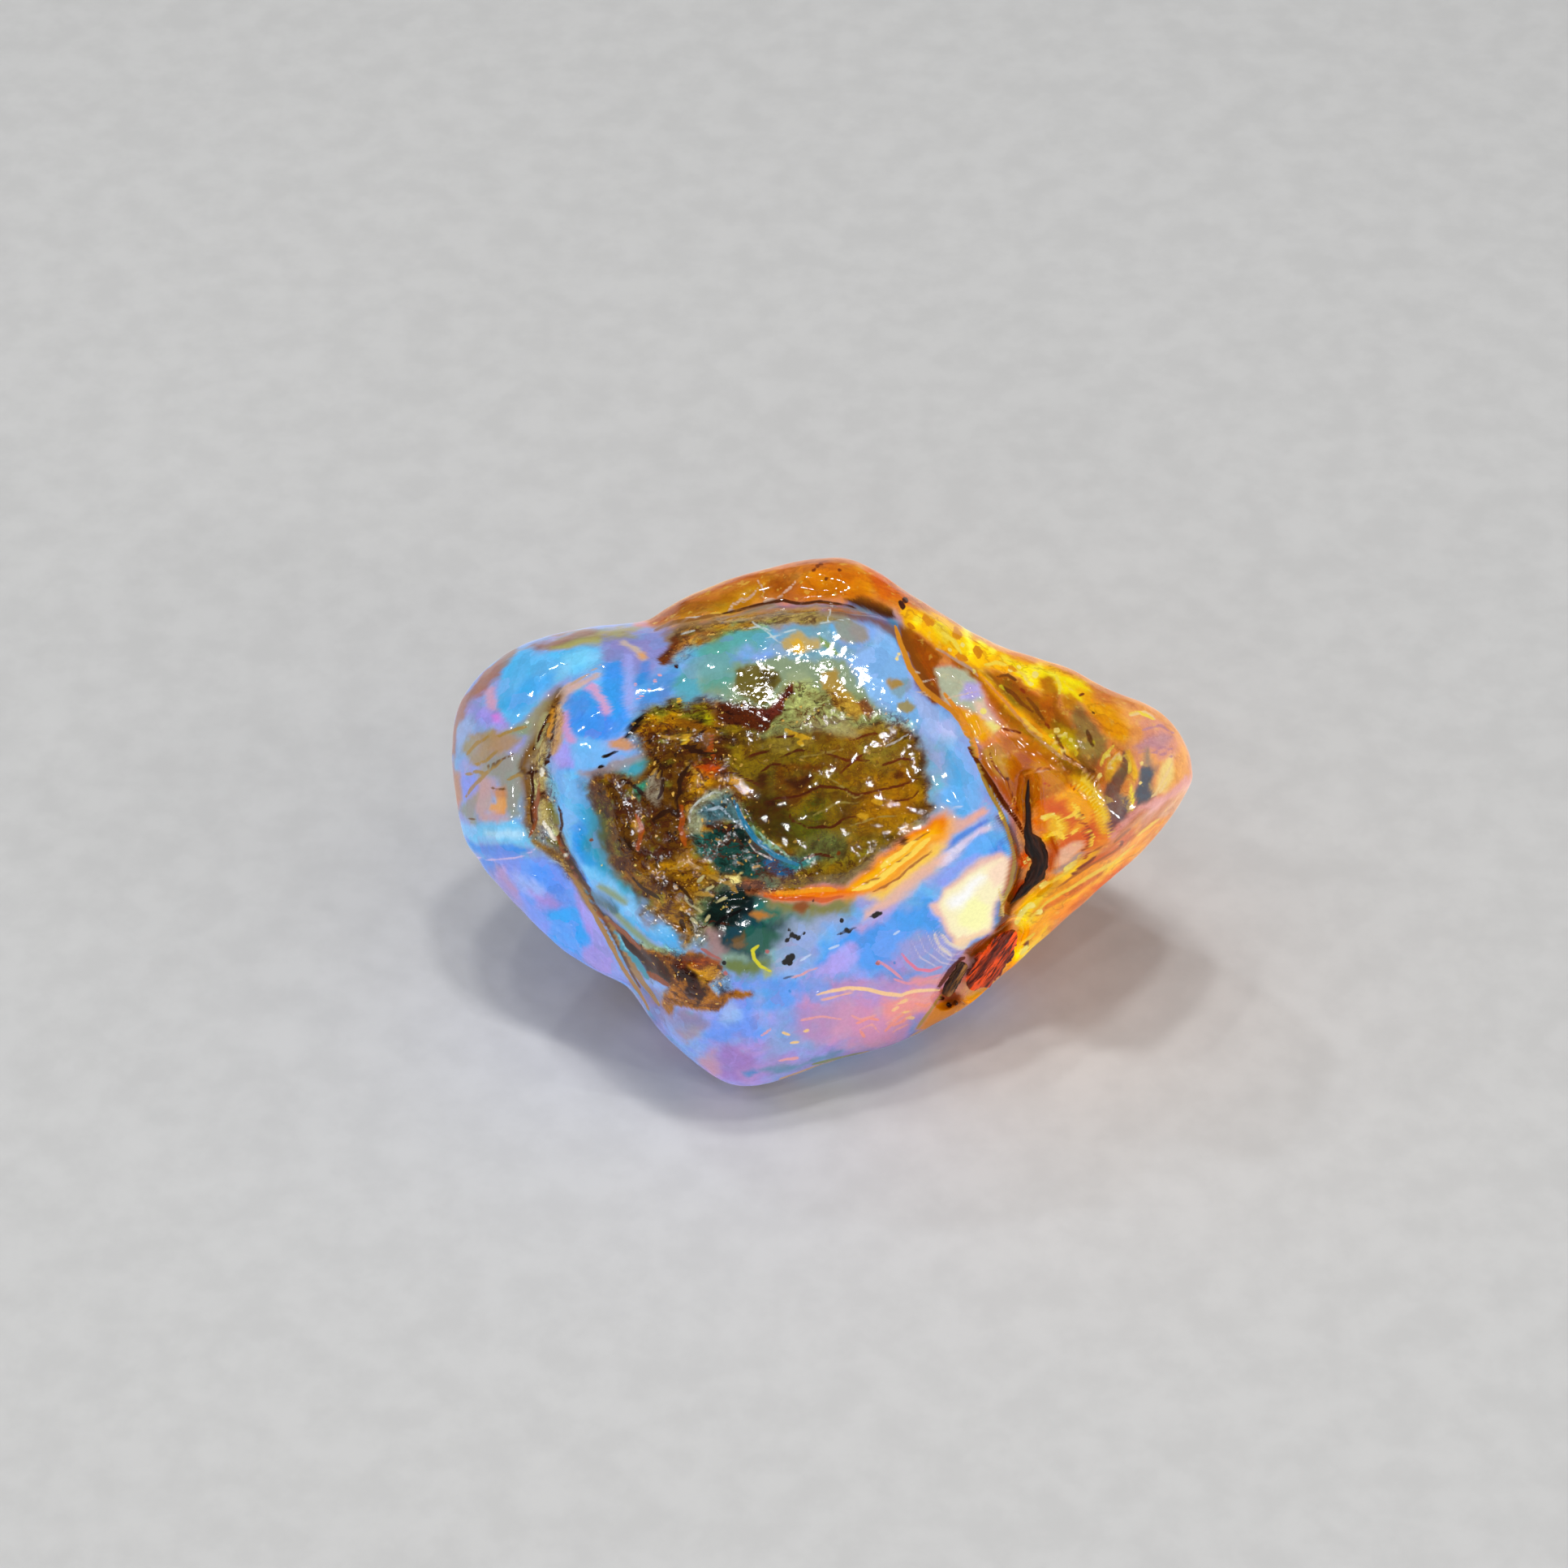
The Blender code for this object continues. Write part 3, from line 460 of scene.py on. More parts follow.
FLANK_CLOUDS = table("""
bright blue: 46a0f8 1 1 0.8: 480,535 570,496 618,482 636,500 620,530 580,555 540,565 510,550 475,555
blue sky: 70b4f4 0.9 1 0.8: 470,520 510,502 550,500 510,520 480,542
lilac drop: b4a8f4 0.95 0.8 0.5: 478,566 492,544 516,536 530,542 518,558 490,574
pale blue left: 84b8f2 0.95 1 0.7: 420,570 455,550 480,542 475,565 445,580
blue left: 5c9ff2 0.95 1 0.7: 405,585 455,575 470,590 450,610 415,615
blue bay low: 6c9cf8 1 1 0.7: 350,585 380,580 405,592 395,615 405,640 370,662 340,645 350,610
pearl: 9cc4f4 0.9 0.9 0.6: 355,615 375,610 385,625 370,638 355,632
blue haze right: 5c98e8 0.9 1 0.7: 545,570 580,560 610,565 590,578 555,582
grey blue: 90a4d8 0.95 1.2 0.8: 405,650 435,630 485,628 500,645 470,668 420,675
rose flank: e296b0 0.9 2 0.8: 462,604 520,590 570,592 630,584 620,615 594,642 550,664 510,666 470,646
coral flank: fc9c88 0.95 1 0.6: 555,600 600,594 626,594 612,618 585,628 562,620
mauve flank: bc8cbc 0.7 1.2 0.5: 448,610 500,604 500,632 478,654 450,638
rose band: c890b8 0.8 0.9 0.5: 490,575 550,576 620,572 630,585 500,588
salmon edge: f09888 0.9 0.6 0.4: 590,576 630,566 646,570 630,586 595,584
violet tip: a07ac0 0.95 1 0.6: 350,670 375,660 400,670 405,688 375,705 355,692
rose tip: c896a4 0.9 0.8 0.4: 328,670 350,666 358,686 350,694 336,682
mauve low: b08cc8 0.8 1 0.5: 375,688 430,670 455,676 430,696 385,706
teal edge: 5a8ca4 0.95 0.6 0.4: 405,690 510,666 500,674 420,696
blue chip: 2e8ccc 0.95 0.4 0.3: 385,690 400,687 406,693 394,696
grey corner: 8c84a4 0.95 0.8 0.5: 275,585 292,588 285,610 305,620 330,616 340,632 320,652 300,636 282,615
peach corner: b89a98 0.6 0.8 0.4: 308,638 332,634 336,645 320,652
rose eddy: b48cc8 0.8 0.8 0.5: 550,556 570,546 600,550 610,562 580,570
shell grey: 9c9cd0 0.9 1 0.5: 570,535 600,520 635,520 654,535 650,560 625,570 590,565
""")

CREAM_CLOUDS = table("""
cream lining: f4c4b4 0.95 0.5 0.25: 616,486 626,482 632,462 674,432 700,418 712,426 718,438 716,454 700,484
 694,502 692,518 642,536 628,500 620,496
cream patch: fff4c8 1 0.5 0.25: 628,484 636,466 674,439 704,425 714,438 713,452 697,482 688,514 644,526
cream sun: fffcb8 1 0.9 0.4: 660,468 676,474 692,486 686,508 666,516 650,508 648,492
cream white: ffffff 0.95 0.9 0.3: 638,482 646,470 678,444 686,446 654,486 644,490
cream rose: fcdcc4 0.9 0.8 0.3: 688,436 706,425 715,437 711,454 698,460 690,450
cream foot: fcdcb0 0.9 0.5 0.3: 642,526 688,514 682,522 666,530 656,542 646,538
""")

TOP_RIM_CLOUDS = table("""
rim glow: f89c1c 1 1 0.5: 455,75 490,63 530,70 555,85 545,105 510,110 470,105 450,92
rim fire: e86a10 1 0.8 0.4: 530,60 560,75 595,108 580,115 555,105
rim brown: a86a1c 0.95 0.7 0.5: 270,145 310,115 360,105 400,105 395,118 320,132 285,148
rim umber: b87418 0.8 1 0.6: 340,105 400,82 445,75 435,105 400,112
groove wedge: 4a2204 1 0.35 0.2: 510,108 532,105 555,110 567,118 572,130 562,130 542,124 522,116
groove shade: 7c4810 0.85 0.7 0.3: 490,115 520,120 555,132 575,142 580,160 530,130 495,122
""")

# Gold edge is painted glow along the lobe's edge, as if lit from behind, and gold glare and gold glare west
# are painted glare on it
RIGHT_LOBE_CLOUDS = table("""
gold edge: ffc00c 1 0.7 0.4: 578,112 605,118 635,132 660,156 695,174 770,188 805,208 820,228 800,236 732,212
 705,198 670,192 630,176 605,150 582,138
gold glare: ffec2c 0.95 0.5 0.5: 708,180 772,195 800,208 816,226 798,238 776,232 768,208 750,202 732,216
 720,208 710,194
gold glare west: ffd418 0.9 0.5 0.5: 620,142 642,148 660,158 674,172 662,182 625,158
brown nook: 84460a 1 0.5 0.35: 576,138 595,144 632,182 625,200 632,222 628,236 612,228 598,212 576,160
nook rust: 9c4c08 0.9 0.6 0.4: 600,170 622,172 628,192 620,202 605,195
basin: 986008 1 0.7 0.4: 635,176 670,194 705,202 760,232 785,258 815,300 830,335 790,325 740,285 705,250
 675,215 650,195
basin olive: 686008 0.95 0.8 0.5: 702,210 732,222 760,250 795,275 822,312 805,318 770,295 740,270 715,245
basin dark: 40340a 0.9 0.7 0.4: 770,298 810,300 822,320 800,322 780,310
basin lime: c8b80c 0.85 0.7 0.6: 755,265 785,268 800,285 795,300 770,295 752,278
brown pillar: a4640a 0.95 0.6 0.4: 748,205 765,200 772,220 768,250 755,262 746,235
honey disc: d8982c 0.95 0.5 0.3: 776,232 788,226 796,236 790,248 778,246
sage patch: b8c8b0 1 0.5 0.35: 624,198 642,192 658,194 682,230 690,250 675,254 658,238 636,230 628,215
lilac patch: b8b4f4 1 0.6 0.4: 660,212 672,212 680,230 670,236 658,228
rose tail: f0d4c0 1 0.5 0.3: 670,236 684,238 698,258 690,264 676,256
bright spot: fff890 1 0.4 0.3: 664,276 684,258 694,258 708,265 698,272 680,278 670,280
bright ground: f8b010 0.95 0.6 0.4: 642,238 665,245 685,258 695,275 675,285 662,275
tawny sheet: a8680c 1 0.6 0.4: 705,275 732,278 760,295 785,318 792,335 770,355 740,370 718,375 698,340
 692,310
tawny deep: 7c3404 0.85 0.8 0.4: 715,305 738,300 745,330 732,370 720,355
straw pane: b49c48 0.95 0.5 0.4: 675,295 695,285 708,305 710,328 695,330 682,315
tan pane: b07828 0.9 0.5 0.3: 742,315 775,312 788,328 768,338 750,335
olive strip: 94801c 0.9 0.4 0.3: 728,268 760,275 820,325 805,325
fire swirl: f08c10 1 0.8 0.5: 745,370 775,340 805,328 822,345 840,410 780,432 760,410 750,390
swirl ember: e05c08 0.95 0.6 1.2: 760,360 788,342 812,358 820,388 806,406 776,406 758,392
swirl gold: fcd030 0.95 0.5 0.5: 756,378 772,374 780,390 772,406 758,402
swirl honey: fcb81c 0.9 0.6 0.5: 780,345 805,338 815,360 805,375 785,368
peach disc: f4c4a8 1 0.35 0.2: 766,436 774,418 788,406 801,403 804,412 794,424 776,440
slate under: 9c9ca4 0.95 0.3 0.2: 764,444 784,434 802,418 806,420 790,436 770,448
grey green: 7c7c50 0.95 0.5 0.5: 788,244 800,242 810,262 828,278 832,300 822,315 806,300 786,262
slate finger: 3c505c 1 0.3 0.35: 851,302 860,294 863,315 850,348 836,360 828,350 836,328 848,316
slate foot: 506478 1 0.4 0.4: 828,355 848,348 862,355 868,370 858,382 840,396 832,375
blue finger: 3c6478 1 0.3 0.35: 872,322 880,315 896,317 892,335 896,350 885,362 872,370 868,355 872,338
gold finger: fad450 1 0.3 0.3: 828,330 836,310 846,298 850,308 840,322 834,336
gold finger two: f8c848 0.95 0.3 0.3: 858,295 864,294 872,320 868,338 862,325
gold finger three: fadc68 0.95 0.3 0.3: 863,340 868,345 867,370 863,373 861,355
tip peach: f8b06c 1 1.2 0.6: 838,238 880,236 910,250 930,275 942,310 938,332 910,348 895,345 898,320 875,310
 860,285 840,265
tip rose: e8a498 0.9 1 0.6: 870,255 905,260 925,290 920,315 895,310 878,285
tip lilac: c094a8 0.85 0.7 0.5: 868,288 895,275 915,278 900,295 875,302
tip honey: fcb024 0.95 1 0.5: 800,220 845,232 860,260 855,285 830,275 810,250
tip slate: 8c8c84 0.85 0.4 0.3: 880,295 886,295 888,315 881,315
tip cream: fae49c 0.95 0.6 0.4: 895,345 902,320 915,305 918,320 910,340
rose ridge: f0b4b4 1 0.4 0.25: 836,400 855,382 938,325 938,340 875,375 838,408
rose ridge cream: fcd8b8 0.9 0.5 0.3: 895,375 920,355 936,338 934,355 910,380
lower strip: ffa808 1 0.7 0.4: 845,410 890,380 915,375 880,420 820,465 760,515 720,560 700,570 735,480
 770,455 810,435
strip yellow: fce020 0.95 0.5 0.4: 718,512 728,488 750,466 770,460 725,518
strip yellow low: f8dc14 0.95 0.5 0.4: 718,550 732,530 758,515 728,552
strip fire: ec6a0c 0.9 0.7 0.4: 805,465 835,438 870,422 855,438 815,470
strip fire low: f07c14 0.9 0.6 0.4: 760,510 790,480 815,470 780,505
foot orange: e48a10 1 0.5 0.3: 602,640 620,610 665,598 688,584 692,592 655,620 620,638
foot peach: ec9c84 1 0.4 0.3: 638,596 652,578 670,564 674,575 666,590 652,600
foot rust: 9c4408 0.9 0.4 0.4: 622,592 645,592 658,602 640,612 626,610
rim brown: 8c4a18 0.9 0.4 0.25: 658,542 670,532 698,520 706,500 715,505 710,522 688,538 666,552
rose smoke: b07868 0.8 0.5 0.4: 666,552 690,535 695,542 675,566
""")

# Streaks and threads: (name, colour, strength, half width, border as a share of that, wobble, routes)
WISPS = table("""
coral: ff9a80 0.8 0.12 0.6 0.15: 525,632 540,624 554,626; 558,642 574,626 590,614; 570,634 584,627 594,619;
 531,641 536,649; 598,606 610,610 616,606
gold: ffd080 0.9 0.12 0.6 0.1: 576,607 588,602; 581,619 590,616; 433,641 444,645; 444,655 456,653; 460,641
 468,638
left ochre: a8843c 0.85 0.15 0.7 0.2: 45,300 60,284 76,276; 54,312 70,308 84,294; 82,278 100,270 120,264;
 95,332 110,324 120,330; 40,325 60,320 74,322; 42,355 54,338 88,308
left umber: 6a4418 0.85 0.11 0.7 0.2: 70,316 104,298; 74,338 82,344 96,340; 118,300 110,318 120,332; 40,376
 66,382
""")

# Swirl bright, strip bright and flow bright are painted glints
HONEY_STREAKS = table("""
swirl edge: ffcc30 0.95 0.45 0.6 0.2: 788,325 805,332 818,350 825,370 830,398
swirl bright: ffd838 1 0.17 0.6 0.3: 754,382 762,374 772,378 770,388 780,392; 760,400 772,396 782,404;
 788,358 798,366 796,378; 802,323 816,336 828,358 837,386; 808,390 816,400 812,412
swirl inner: fcb018 0.9 0.35 0.6 0.3: 770,355 790,345 806,355 808,380 790,395
strip gold: ffc818 0.95 0.32 0.7 0.25: 720,498 740,476 760,462 785,448 822,418; 732,512 755,492 815,456
 852,428; 720,552 738,536 762,518
strip ember: d85c04 0.85 0.3 0.7 0.3: 745,498 830,444; 800,442 822,430 850,410 870,392; 815,470 865,432
ridge gold: ffc020 0.9 0.3 0.7 0.2: 674,196 712,238 800,314
strip bright: fff070 1 0.22 0.6 0.2: 720,510 728,494 742,482; 751,464 759,456; 780,444 795,432; 726,546
 736,534
flow bright: ffe850 0.95 0.14 0.6 0.2: 682,190 696,187 710,190; 720,196 732,202 736,212; 630,148 645,160
 654,176; 770,200 776,215 774,228; 826,315 832,300 842,288; 840,310 848,300; 856,298 862,310 860,325;
 862,335 866,355 865,372; 752,378 762,374 770,376; 860,250 872,247 894,258; 700,370 708,384; 728,255 756,278
flow dark: 7a2c02 0.95 0.12 0.6 0.25: 704,266 730,273; 788,448 798,447; 804,382 812,394 811,410; 796,370
 808,376; 756,260 764,268; 798,228 807,225; 800,420 806,414; 744,320 754,316 766,318; 726,218 732,224;
 710,332 726,372; 688,295 696,314 706,332; 820,425 808,436 795,444; 850,412 856,404
flow umber: 5a3a06 0.9 0.16 0.6 0.3: 696,206 710,202 720,210; 704,216 716,224 728,238 742,248; 770,275
 782,300 796,308; 798,310 810,318 820,320; 732,228 745,242 754,258; 815,250 820,244; 806,270 818,292
""")

# Fold light is a painted highlight on the fold
FOLD_STREAKS = table("""
fold ground: 8c7038 0.85 0.75 0.8 0.5: 160,220 150,242 134,285 128,315 128,375 132,405
fold brown: 7a5420 0.95 0.32 0.7 0.3: 160,226 136,275 124,292 114,312 120,335 124,360 121,392; 160,228
 138,310 134,338 142,360 154,378 170,420
fold sage: b4b488 0.9 0.3 0.7 0.3: 144,250 132,290; 140,318 136,332; 144,370 150,388 160,404; 130,330 130,355
fold tan: c49a68 0.95 0.35 0.5 0.25: 158,240 160,260 158,282 152,300
fold amber: d08c24 0.95 0.25 0.5 0.2: 152,245 150,265 146,278
fold cream: b8ac80 0.95 0.35 0.5 0.25: 146,282 138,300 138,325 134,345; 138,355 142,375 138,385
fold moss: 7c7c40 0.95 0.3 0.5 0.25: 146,355 160,385; 142,405 160,410 166,422
fold light: f4ecd8 1 0.17 0.6 0.3: 139,380 146,390 152,406; 142,314 138,326; 164,422 170,430
fold dark: 3a1604 1 0.13 0.6 0.2: 153,355 162,370 164,385 160,400 166,415 182,450 200,468; 154,236 126,295;
 154,242 150,298 142,315; 125,310 127,390; 138,305 150,308; 110,318 125,322 138,318
fold rust: 8c4410 0.95 0.15 0.6 0.2: 134,330 130,385 122,405; 156,400 162,418 172,432 182,452
fold foot: 8c6c2c 1 0.35 0.5 0.2: 125,405 160,428 176,448 200,492
tan border: a87c40 1 0.17 0.5 0.15: 170,445 188,470 238,562 255,588 270,616
border umber: 5c3410 1 0.13 0.5 0.15: 162,422 194,466 260,588
bank dark: 2c1002 1 0.36 0.6 0.25: 170,420 192,462; 196,482 274,558 296,576
bank sage: 8c9c6c 0.9 0.32 0.8 0.25: 212,482 232,498 270,534 292,544; 206,462 242,482
bank rust: 8c4408 0.95 0.2 0.6 0.2: 205,494 222,508 240,520 260,540; 266,566 282,576 294,586
bank ochre: 9c7434 0.95 0.22 0.5 0.2: 215,498 232,532 282,610
bank teal: 4596ae 1 0.24 0.5 0.15: 226,516 236,538 252,552 270,576
bank teal glass: 406c74 0.95 0.5 0.6 0.25: 192,468 232,494
bank cyan: 7cd0ec 0.95 0.08 0.8 0.1: 232,520 240,538 255,552 266,572
ledge line: cdbcec 0.9 0.09 0.8 0.1: 50,426 80,430 110,427 125,420 134,412
facet line: c8a890 0.9 0.1 0.8 0.15: 212,188 166,218 154,232
shelf fleck: 140a04 1 0.32 0.3 0.4: 238,280 256,258 266,250
shelf fleck small: 1a0c04 1 0.14 0.4 0.3: 210,303 232,294; 206,316 216,312
""")

WINDOW_STREAKS = table("""
veins: 541a04 0.95 0.11 0.7 0.35: 350,318 375,320 415,342; 400,326 420,314 438,315 448,325; 415,355 455,348
 480,341 510,342 530,347 562,342 600,332; 428,355 442,366 450,380 466,387 492,388 512,377 538,372; 532,300
 502,325; 430,305 455,296 470,298; 415,278 445,278 460,272; 480,295 510,310 540,308; 555,275 530,278
 515,282; 565,360 590,355 600,345; 555,315 580,305 595,308; 455,430 480,422 500,425; 390,305 405,298 420,295
vein blots: 38160a 0.9 0.38 0.7 0.5: 442,330 455,335 470,332; 415,355 430,358; 400,332 415,330; 580,410
 590,406; 570,328 582,326
pale veins: a89a4c 0.8 0.08 0.8 0.35: 470,325 500,335 522,350 532,348; 455,305 510,295; 470,375 500,360
 530,355; 515,390 550,380 580,375; 410,270 430,263 455,260
gold glints: e4b420 0.9 0.22 0.8 0.4: 438,268 470,282; 455,285 462,290; 542,355 558,362; 530,370 542,380;
 315,275 312,288; 308,228 306,236
left dark veins: 2e1004 0.9 0.18 0.7 0.5: 270,295 285,315 288,335 282,355; 300,275 320,295 350,300; 320,305
 302,355 308,380; 230,330 255,338 270,355; 270,380 290,370 310,375; 250,450 282,478; 306,460 320,475
 330,490; 308,500 312,520; 340,265 325,282 320,295
left gold veins: bc8c28 0.8 0.14 0.7 0.5: 275,275 295,285 320,275; 310,310 328,325 322,345; 290,440 315,432
 340,445; 270,325 276,320 282,332; 340,450 360,460 375,470; 328,470 350,475
fire veins: b04c08 0.8 0.2 0.8 0.5: 312,360 306,390 315,415; 250,370 260,390 255,415; 345,275 342,295 350,312
lens rim: c8ccc4 0.9 0.1 0.7 0.15: 318,390 320,370 332,356 350,346 362,346
lens light: b0c4d0 0.85 0.12 0.8 0.3: 338,370 355,364 368,374 375,384; 375,380 382,388
arc blue: 2880a8 1 0.22 0.6 0.1: 374,356 384,380 400,404 424,424 455,436
arc mint: 9cc8a8 0.85 0.09 0.8 0.1: 396,386 410,402 428,414 445,428; 410,408 425,416
arc white: e8dcd8 0.95 0.08 0.8 0.08: 373,388 380,390; 391,406 402,420 422,430
lens gold: b48430 0.9 0.1 0.7 0.3: 342,392 350,396; 350,404 362,406; 332,398 338,404; 375,432 385,436;
 394,440 406,438
cream grains: cfc48c 0.85 0.13 0.6 0.35: 338,468 350,462; 350,482 365,476; 328,458 338,450; 355,454 362,460;
 312,476 338,494; 320,500 332,508; 346,496 340,506
ink line: 060404 1 0.16 0.6 0.2: 350,512 360,502 386,490
lime curve: dcd41c 1 0.15 0.5 0.12: 406,534 397,540 399,552 408,562 422,568
rose vein: b06058 0.9 0.16 0.7 0.3: 332,538 360,552
band core: ffd84c 0.95 0.22 0.7 0.3: 518,469 540,462 588,428 618,402; 555,440 600,406
band brown: a85c10 0.9 0.1 0.7 0.3: 532,460 560,448 590,422; 545,470 575,454 620,416; 570,428 616,394
band red: d05008 0.8 0.18 0.8 0.3: 410,474 480,478 510,474
band amber: f8a018 0.85 0.2 0.8 0.3: 425,468 500,466
""")

FLANK_STREAKS = table("""
peach line: ffd09c 1 0.16 0.7 0.12: 476,596 500,589 518,587 540,589 560,594 580,596 600,591 628,590
peach line two: f8b49c 0.9 0.1 0.8 0.15: 480,602 522,592
rose lines: f4a49c 0.8 0.1 0.8 0.25: 480,560 460,570 435,576; 455,626 480,622 510,626; 520,620 532,626
 550,618; 530,640 545,632 552,642; 560,632 580,620 600,616; 568,642 590,632; 430,678 455,674; 405,645
 420,638; 570,608 595,602 615,604
gold dashes: ffc890 0.95 0.14 0.7 0.1: 568,616 578,610; 588,624 598,625; 578,606 588,603
coral curve: ec7c9c 0.95 0.13 0.7 0.08: 580,544 588,554 600,564 616,566 632,560
rose arc: e894a8 0.9 0.12 0.7 0.1: 570,576 590,582 630,570; 550,552 582,576
shell lines: d4c8e0 0.7 0.07 0.8 0.06: 600,520 610,542 630,556 650,560; 610,516 620,538 638,552 654,554;
 618,512 628,534 644,546 658,546; 626,516 634,532 650,540 660,540; 592,528 604,550 626,562; 620,526 630,542
 646,550
shell cream: f0e0c8 0.8 0.12 0.7 0.08: 630,520 638,532 652,538 662,536; 620,520 628,538 642,548
blue dash: c8dcfc 0.85 0.1 0.7 0.1: 570,522 578,516; 642,366 658,364; 490,540 505,534; 455,554 470,546
dark hairs: 3c3c60 0.8 0.1 0.6 0.2: 500,522 526,512; 540,500 554,496; 435,576 450,572
gold hem: c8a078 0.95 0.16 0.6 0.1: 430,700 510,674 536,668 560,666 585,654 605,640
lime hem: 88903c 0.9 0.12 0.7 0.1: 470,682 534,667
olive seam: b89040 0.95 0.12 0.6 0.08: 630,595 600,638
""")

# Gold blots are painted highlights along the gold edge, and rim hash and band hash are painted glints
EDGE_STREAKS = table("""
dome border dark: 4c2404 0.95 0.32 0.7 0.15: 698,375 712,390 720,412 724,436 720,460 706,502 698,520
dome border upper: d88c20 1 0.22 0.6 0.12: 572,140 590,192 608,218 642,244 654,260 662,280
dome border: a88838 1 0.17 0.6 0.1: 662,275 682,330 706,378 715,405 720,432 716,455 700,500
dome border sliver: e8c878 0.9 0.12 0.7 0.1: 700,462 705,482 706,500
border orange: e89418 0.95 0.2 0.7 0.12: 632,222 652,246 666,275 676,305
crack: 521c04 1 0.22 0.5 0.15: 662,290 676,310 706,360 724,382 736,404
crack rust: b05408 0.9 0.3 0.7 0.15: 670,285 692,325 732,380 742,400; 720,410 716,445 708,480 706,505
crack foot: 7c3c0c 0.95 0.3 0.6 0.15: 722,415 722,445 710,495 702,520 685,535 666,548
splinter shade: 1a0602 1 0.3 0.6 0.12: 736,325 738,360 736,395 746,415 752,440 738,460 714,488
splinter glow: ec5010 0.95 0.42 0.7 0.15: 728,438 734,426 742,418
splinter rust: a02c08 0.9 0.4 0.8 0.2: 765,402 770,420 762,442; 732,455 720,474
bark groove: 5a2408 0.9 0.2 0.6 0.12: 625,588 640,566 654,552 660,550
groove line: 4c2408 1 0.14 0.7 0.12: 358,126 435,109 455,113 480,111 505,114 528,120
groove line faint: 8c5818 0.85 0.16 0.8 0.2: 275,148 300,138 360,126
ridge line: d8a868 0.85 0.13 0.7 0.1: 678,202 710,236 738,270 770,298 800,314 822,332 836,370 844,398
ridge line two: c8b098 0.85 0.12 0.7 0.12: 622,168 666,194 676,204
amber lines: d88c28 0.8 0.13 0.8 0.15: 732,325 760,315 788,320
swirl lines: ffdc48 0.9 0.14 0.7 0.2: 800,328 816,340 826,360 836,405; 792,332 808,345 818,365 822,385;
 780,380 795,372 808,378; 786,398 798,392
swirl rust: b03c08 0.9 0.14 0.7 0.25: 792,382 808,384 816,396; 802,394 810,406 808,416; 788,335 796,348;
 805,430 810,422; 766,338 754,332
strip lines: fcd83c 0.85 0.12 0.8 0.15: 732,510 760,482 842,432 870,410; 755,462 780,448 800,432; 790,442
 802,422; 870,400 900,378; 725,535 745,518
strip brown: a8580c 0.85 0.09 0.7 0.15: 770,465 855,410; 790,448 810,438; 840,410 865,390; 815,420 830,410
gold blots: ffe850 0.9 0.3 0.9 0.5: 620,135 632,148 640,160; 656,145 666,176; 685,170 696,178; 702,182
 716,186; 728,198 740,205; 598,128 608,134; 675,160 682,170; 760,195 775,200; 738,190 754,192
amber blots: e08c04 0.8 0.25 0.9 0.5: 642,142 650,160; 610,125 620,140; 670,166 678,182; 646,176 660,182;
 710,192 722,196; 590,135 600,145
lime glints: ece020 0.9 0.14 0.8 0.3: 762,275 770,278; 776,282 784,278; 786,290 796,294; 766,288 774,294;
 794,300 800,296; 814,288 820,286; 700,215 710,220
pale scratches: dcc8b0 0.8 0.07 0.8 0.1: 600,212 625,206; 592,196 604,200; 598,222 616,228; 634,230 676,222;
 745,322 768,316
tip lines: fcdc9c 0.85 0.1 0.8 0.2: 862,252 880,248 895,258; 895,345 916,310; 885,355 900,345 910,330;
 834,318 842,305 852,295
tip swirls: c8909c 0.8 0.12 0.8 0.3: 875,270 900,265 918,275; 870,300 895,298 918,305; 895,290 915,295
rim hash: f4d8c0 0.75 0.08 0.8 0.3: 375,115 388,105; 385,112 400,100; 365,122 375,112; 405,85 415,105;
 425,110 445,92; 435,100 450,82; 410,110 425,108; 395,108 405,95
band hash: d8e4e4 0.7 0.07 0.8 0.2: 395,135 435,165; 410,158 455,145; 385,145 405,142 420,148; 490,135
 495,115; 480,138 520,132; 308,152 328,146; 315,132 332,130; 590,275 575,285 560,290
""")

# Small grains: (colour, radius, places). The bright yellow flecks fff080 and ffe48c in the
# honey-coloured lobe are painted glints
FLECKS = table("""
080504 0.22: 446,522 450,524 454,526 440,528 506,504 512,516 516,517 546,499 550,497 363,556
080504 0.28: 437,554 441,550 446,548 443,555
140a06 0.15: 460,520 442,516 505,520 470,479 554,496
2a1006 0.25: 580,112 586,108 582,116
7c3c08 0.16: 477,67 473,72 482,64 505,72 490,84 504,420 198,405 732,532 735,530 853,408
3a1406 0.2: 138,345 302,190 308,238 710,330 638,610 630,602 646,606
b46868 0.2: 363,570 550,556 415,542
e8a8b8 0.16: 253,212 256,222 254,232 269,218 260,228 282,200 276,208
2e86d8 0.14: 445,592 570,556 450,574
f8e070 0.12: 279,250 269,256 306,232 312,282 253,435 212,436 279,605 362,488 455,275 471,280 460,290
fff080 0.18: 726,192 732,205 738,212 713,196 778,278 783,275 790,282 796,290 770,285 640,170 655,165 670,197
 836,300 850,305 825,325 753,378 762,375 768,374 732,432 738,428 740,422
fff080 0.26: 682,247 745,200 772,270 780,295 728,494 742,486 751,494
ffe48c 0.16: 578,176 576,182 665,278 840,315 878,312 875,335 822,328
""")

# Colours that noise runs through, from low to high, and how vivid all the paint is made
OPAL_STOPS = (
    (-0.9, "3f8cf0"), (-0.35, "6cc0f8"), (-0.05, "88a4f0"), (0.3, "a89cf0"), (0.6, "c8a0d8"),
    (0.9, "7cd0f4"),
)
CRUMB_STOPS = ((-0.8, "2c0e02"), (-0.35, "5a2c08"), (0.0, "7c5614"), (0.35, "94781c"), (0.8, "a88c2c"))
HONEY_STOPS = ((-0.8, "a05004"), (-0.3, "e07c08"), (0.1, "f09c14"), (0.5, "fcc428"), (0.9, "ffe860"))
VIVIDNESS = 1.06

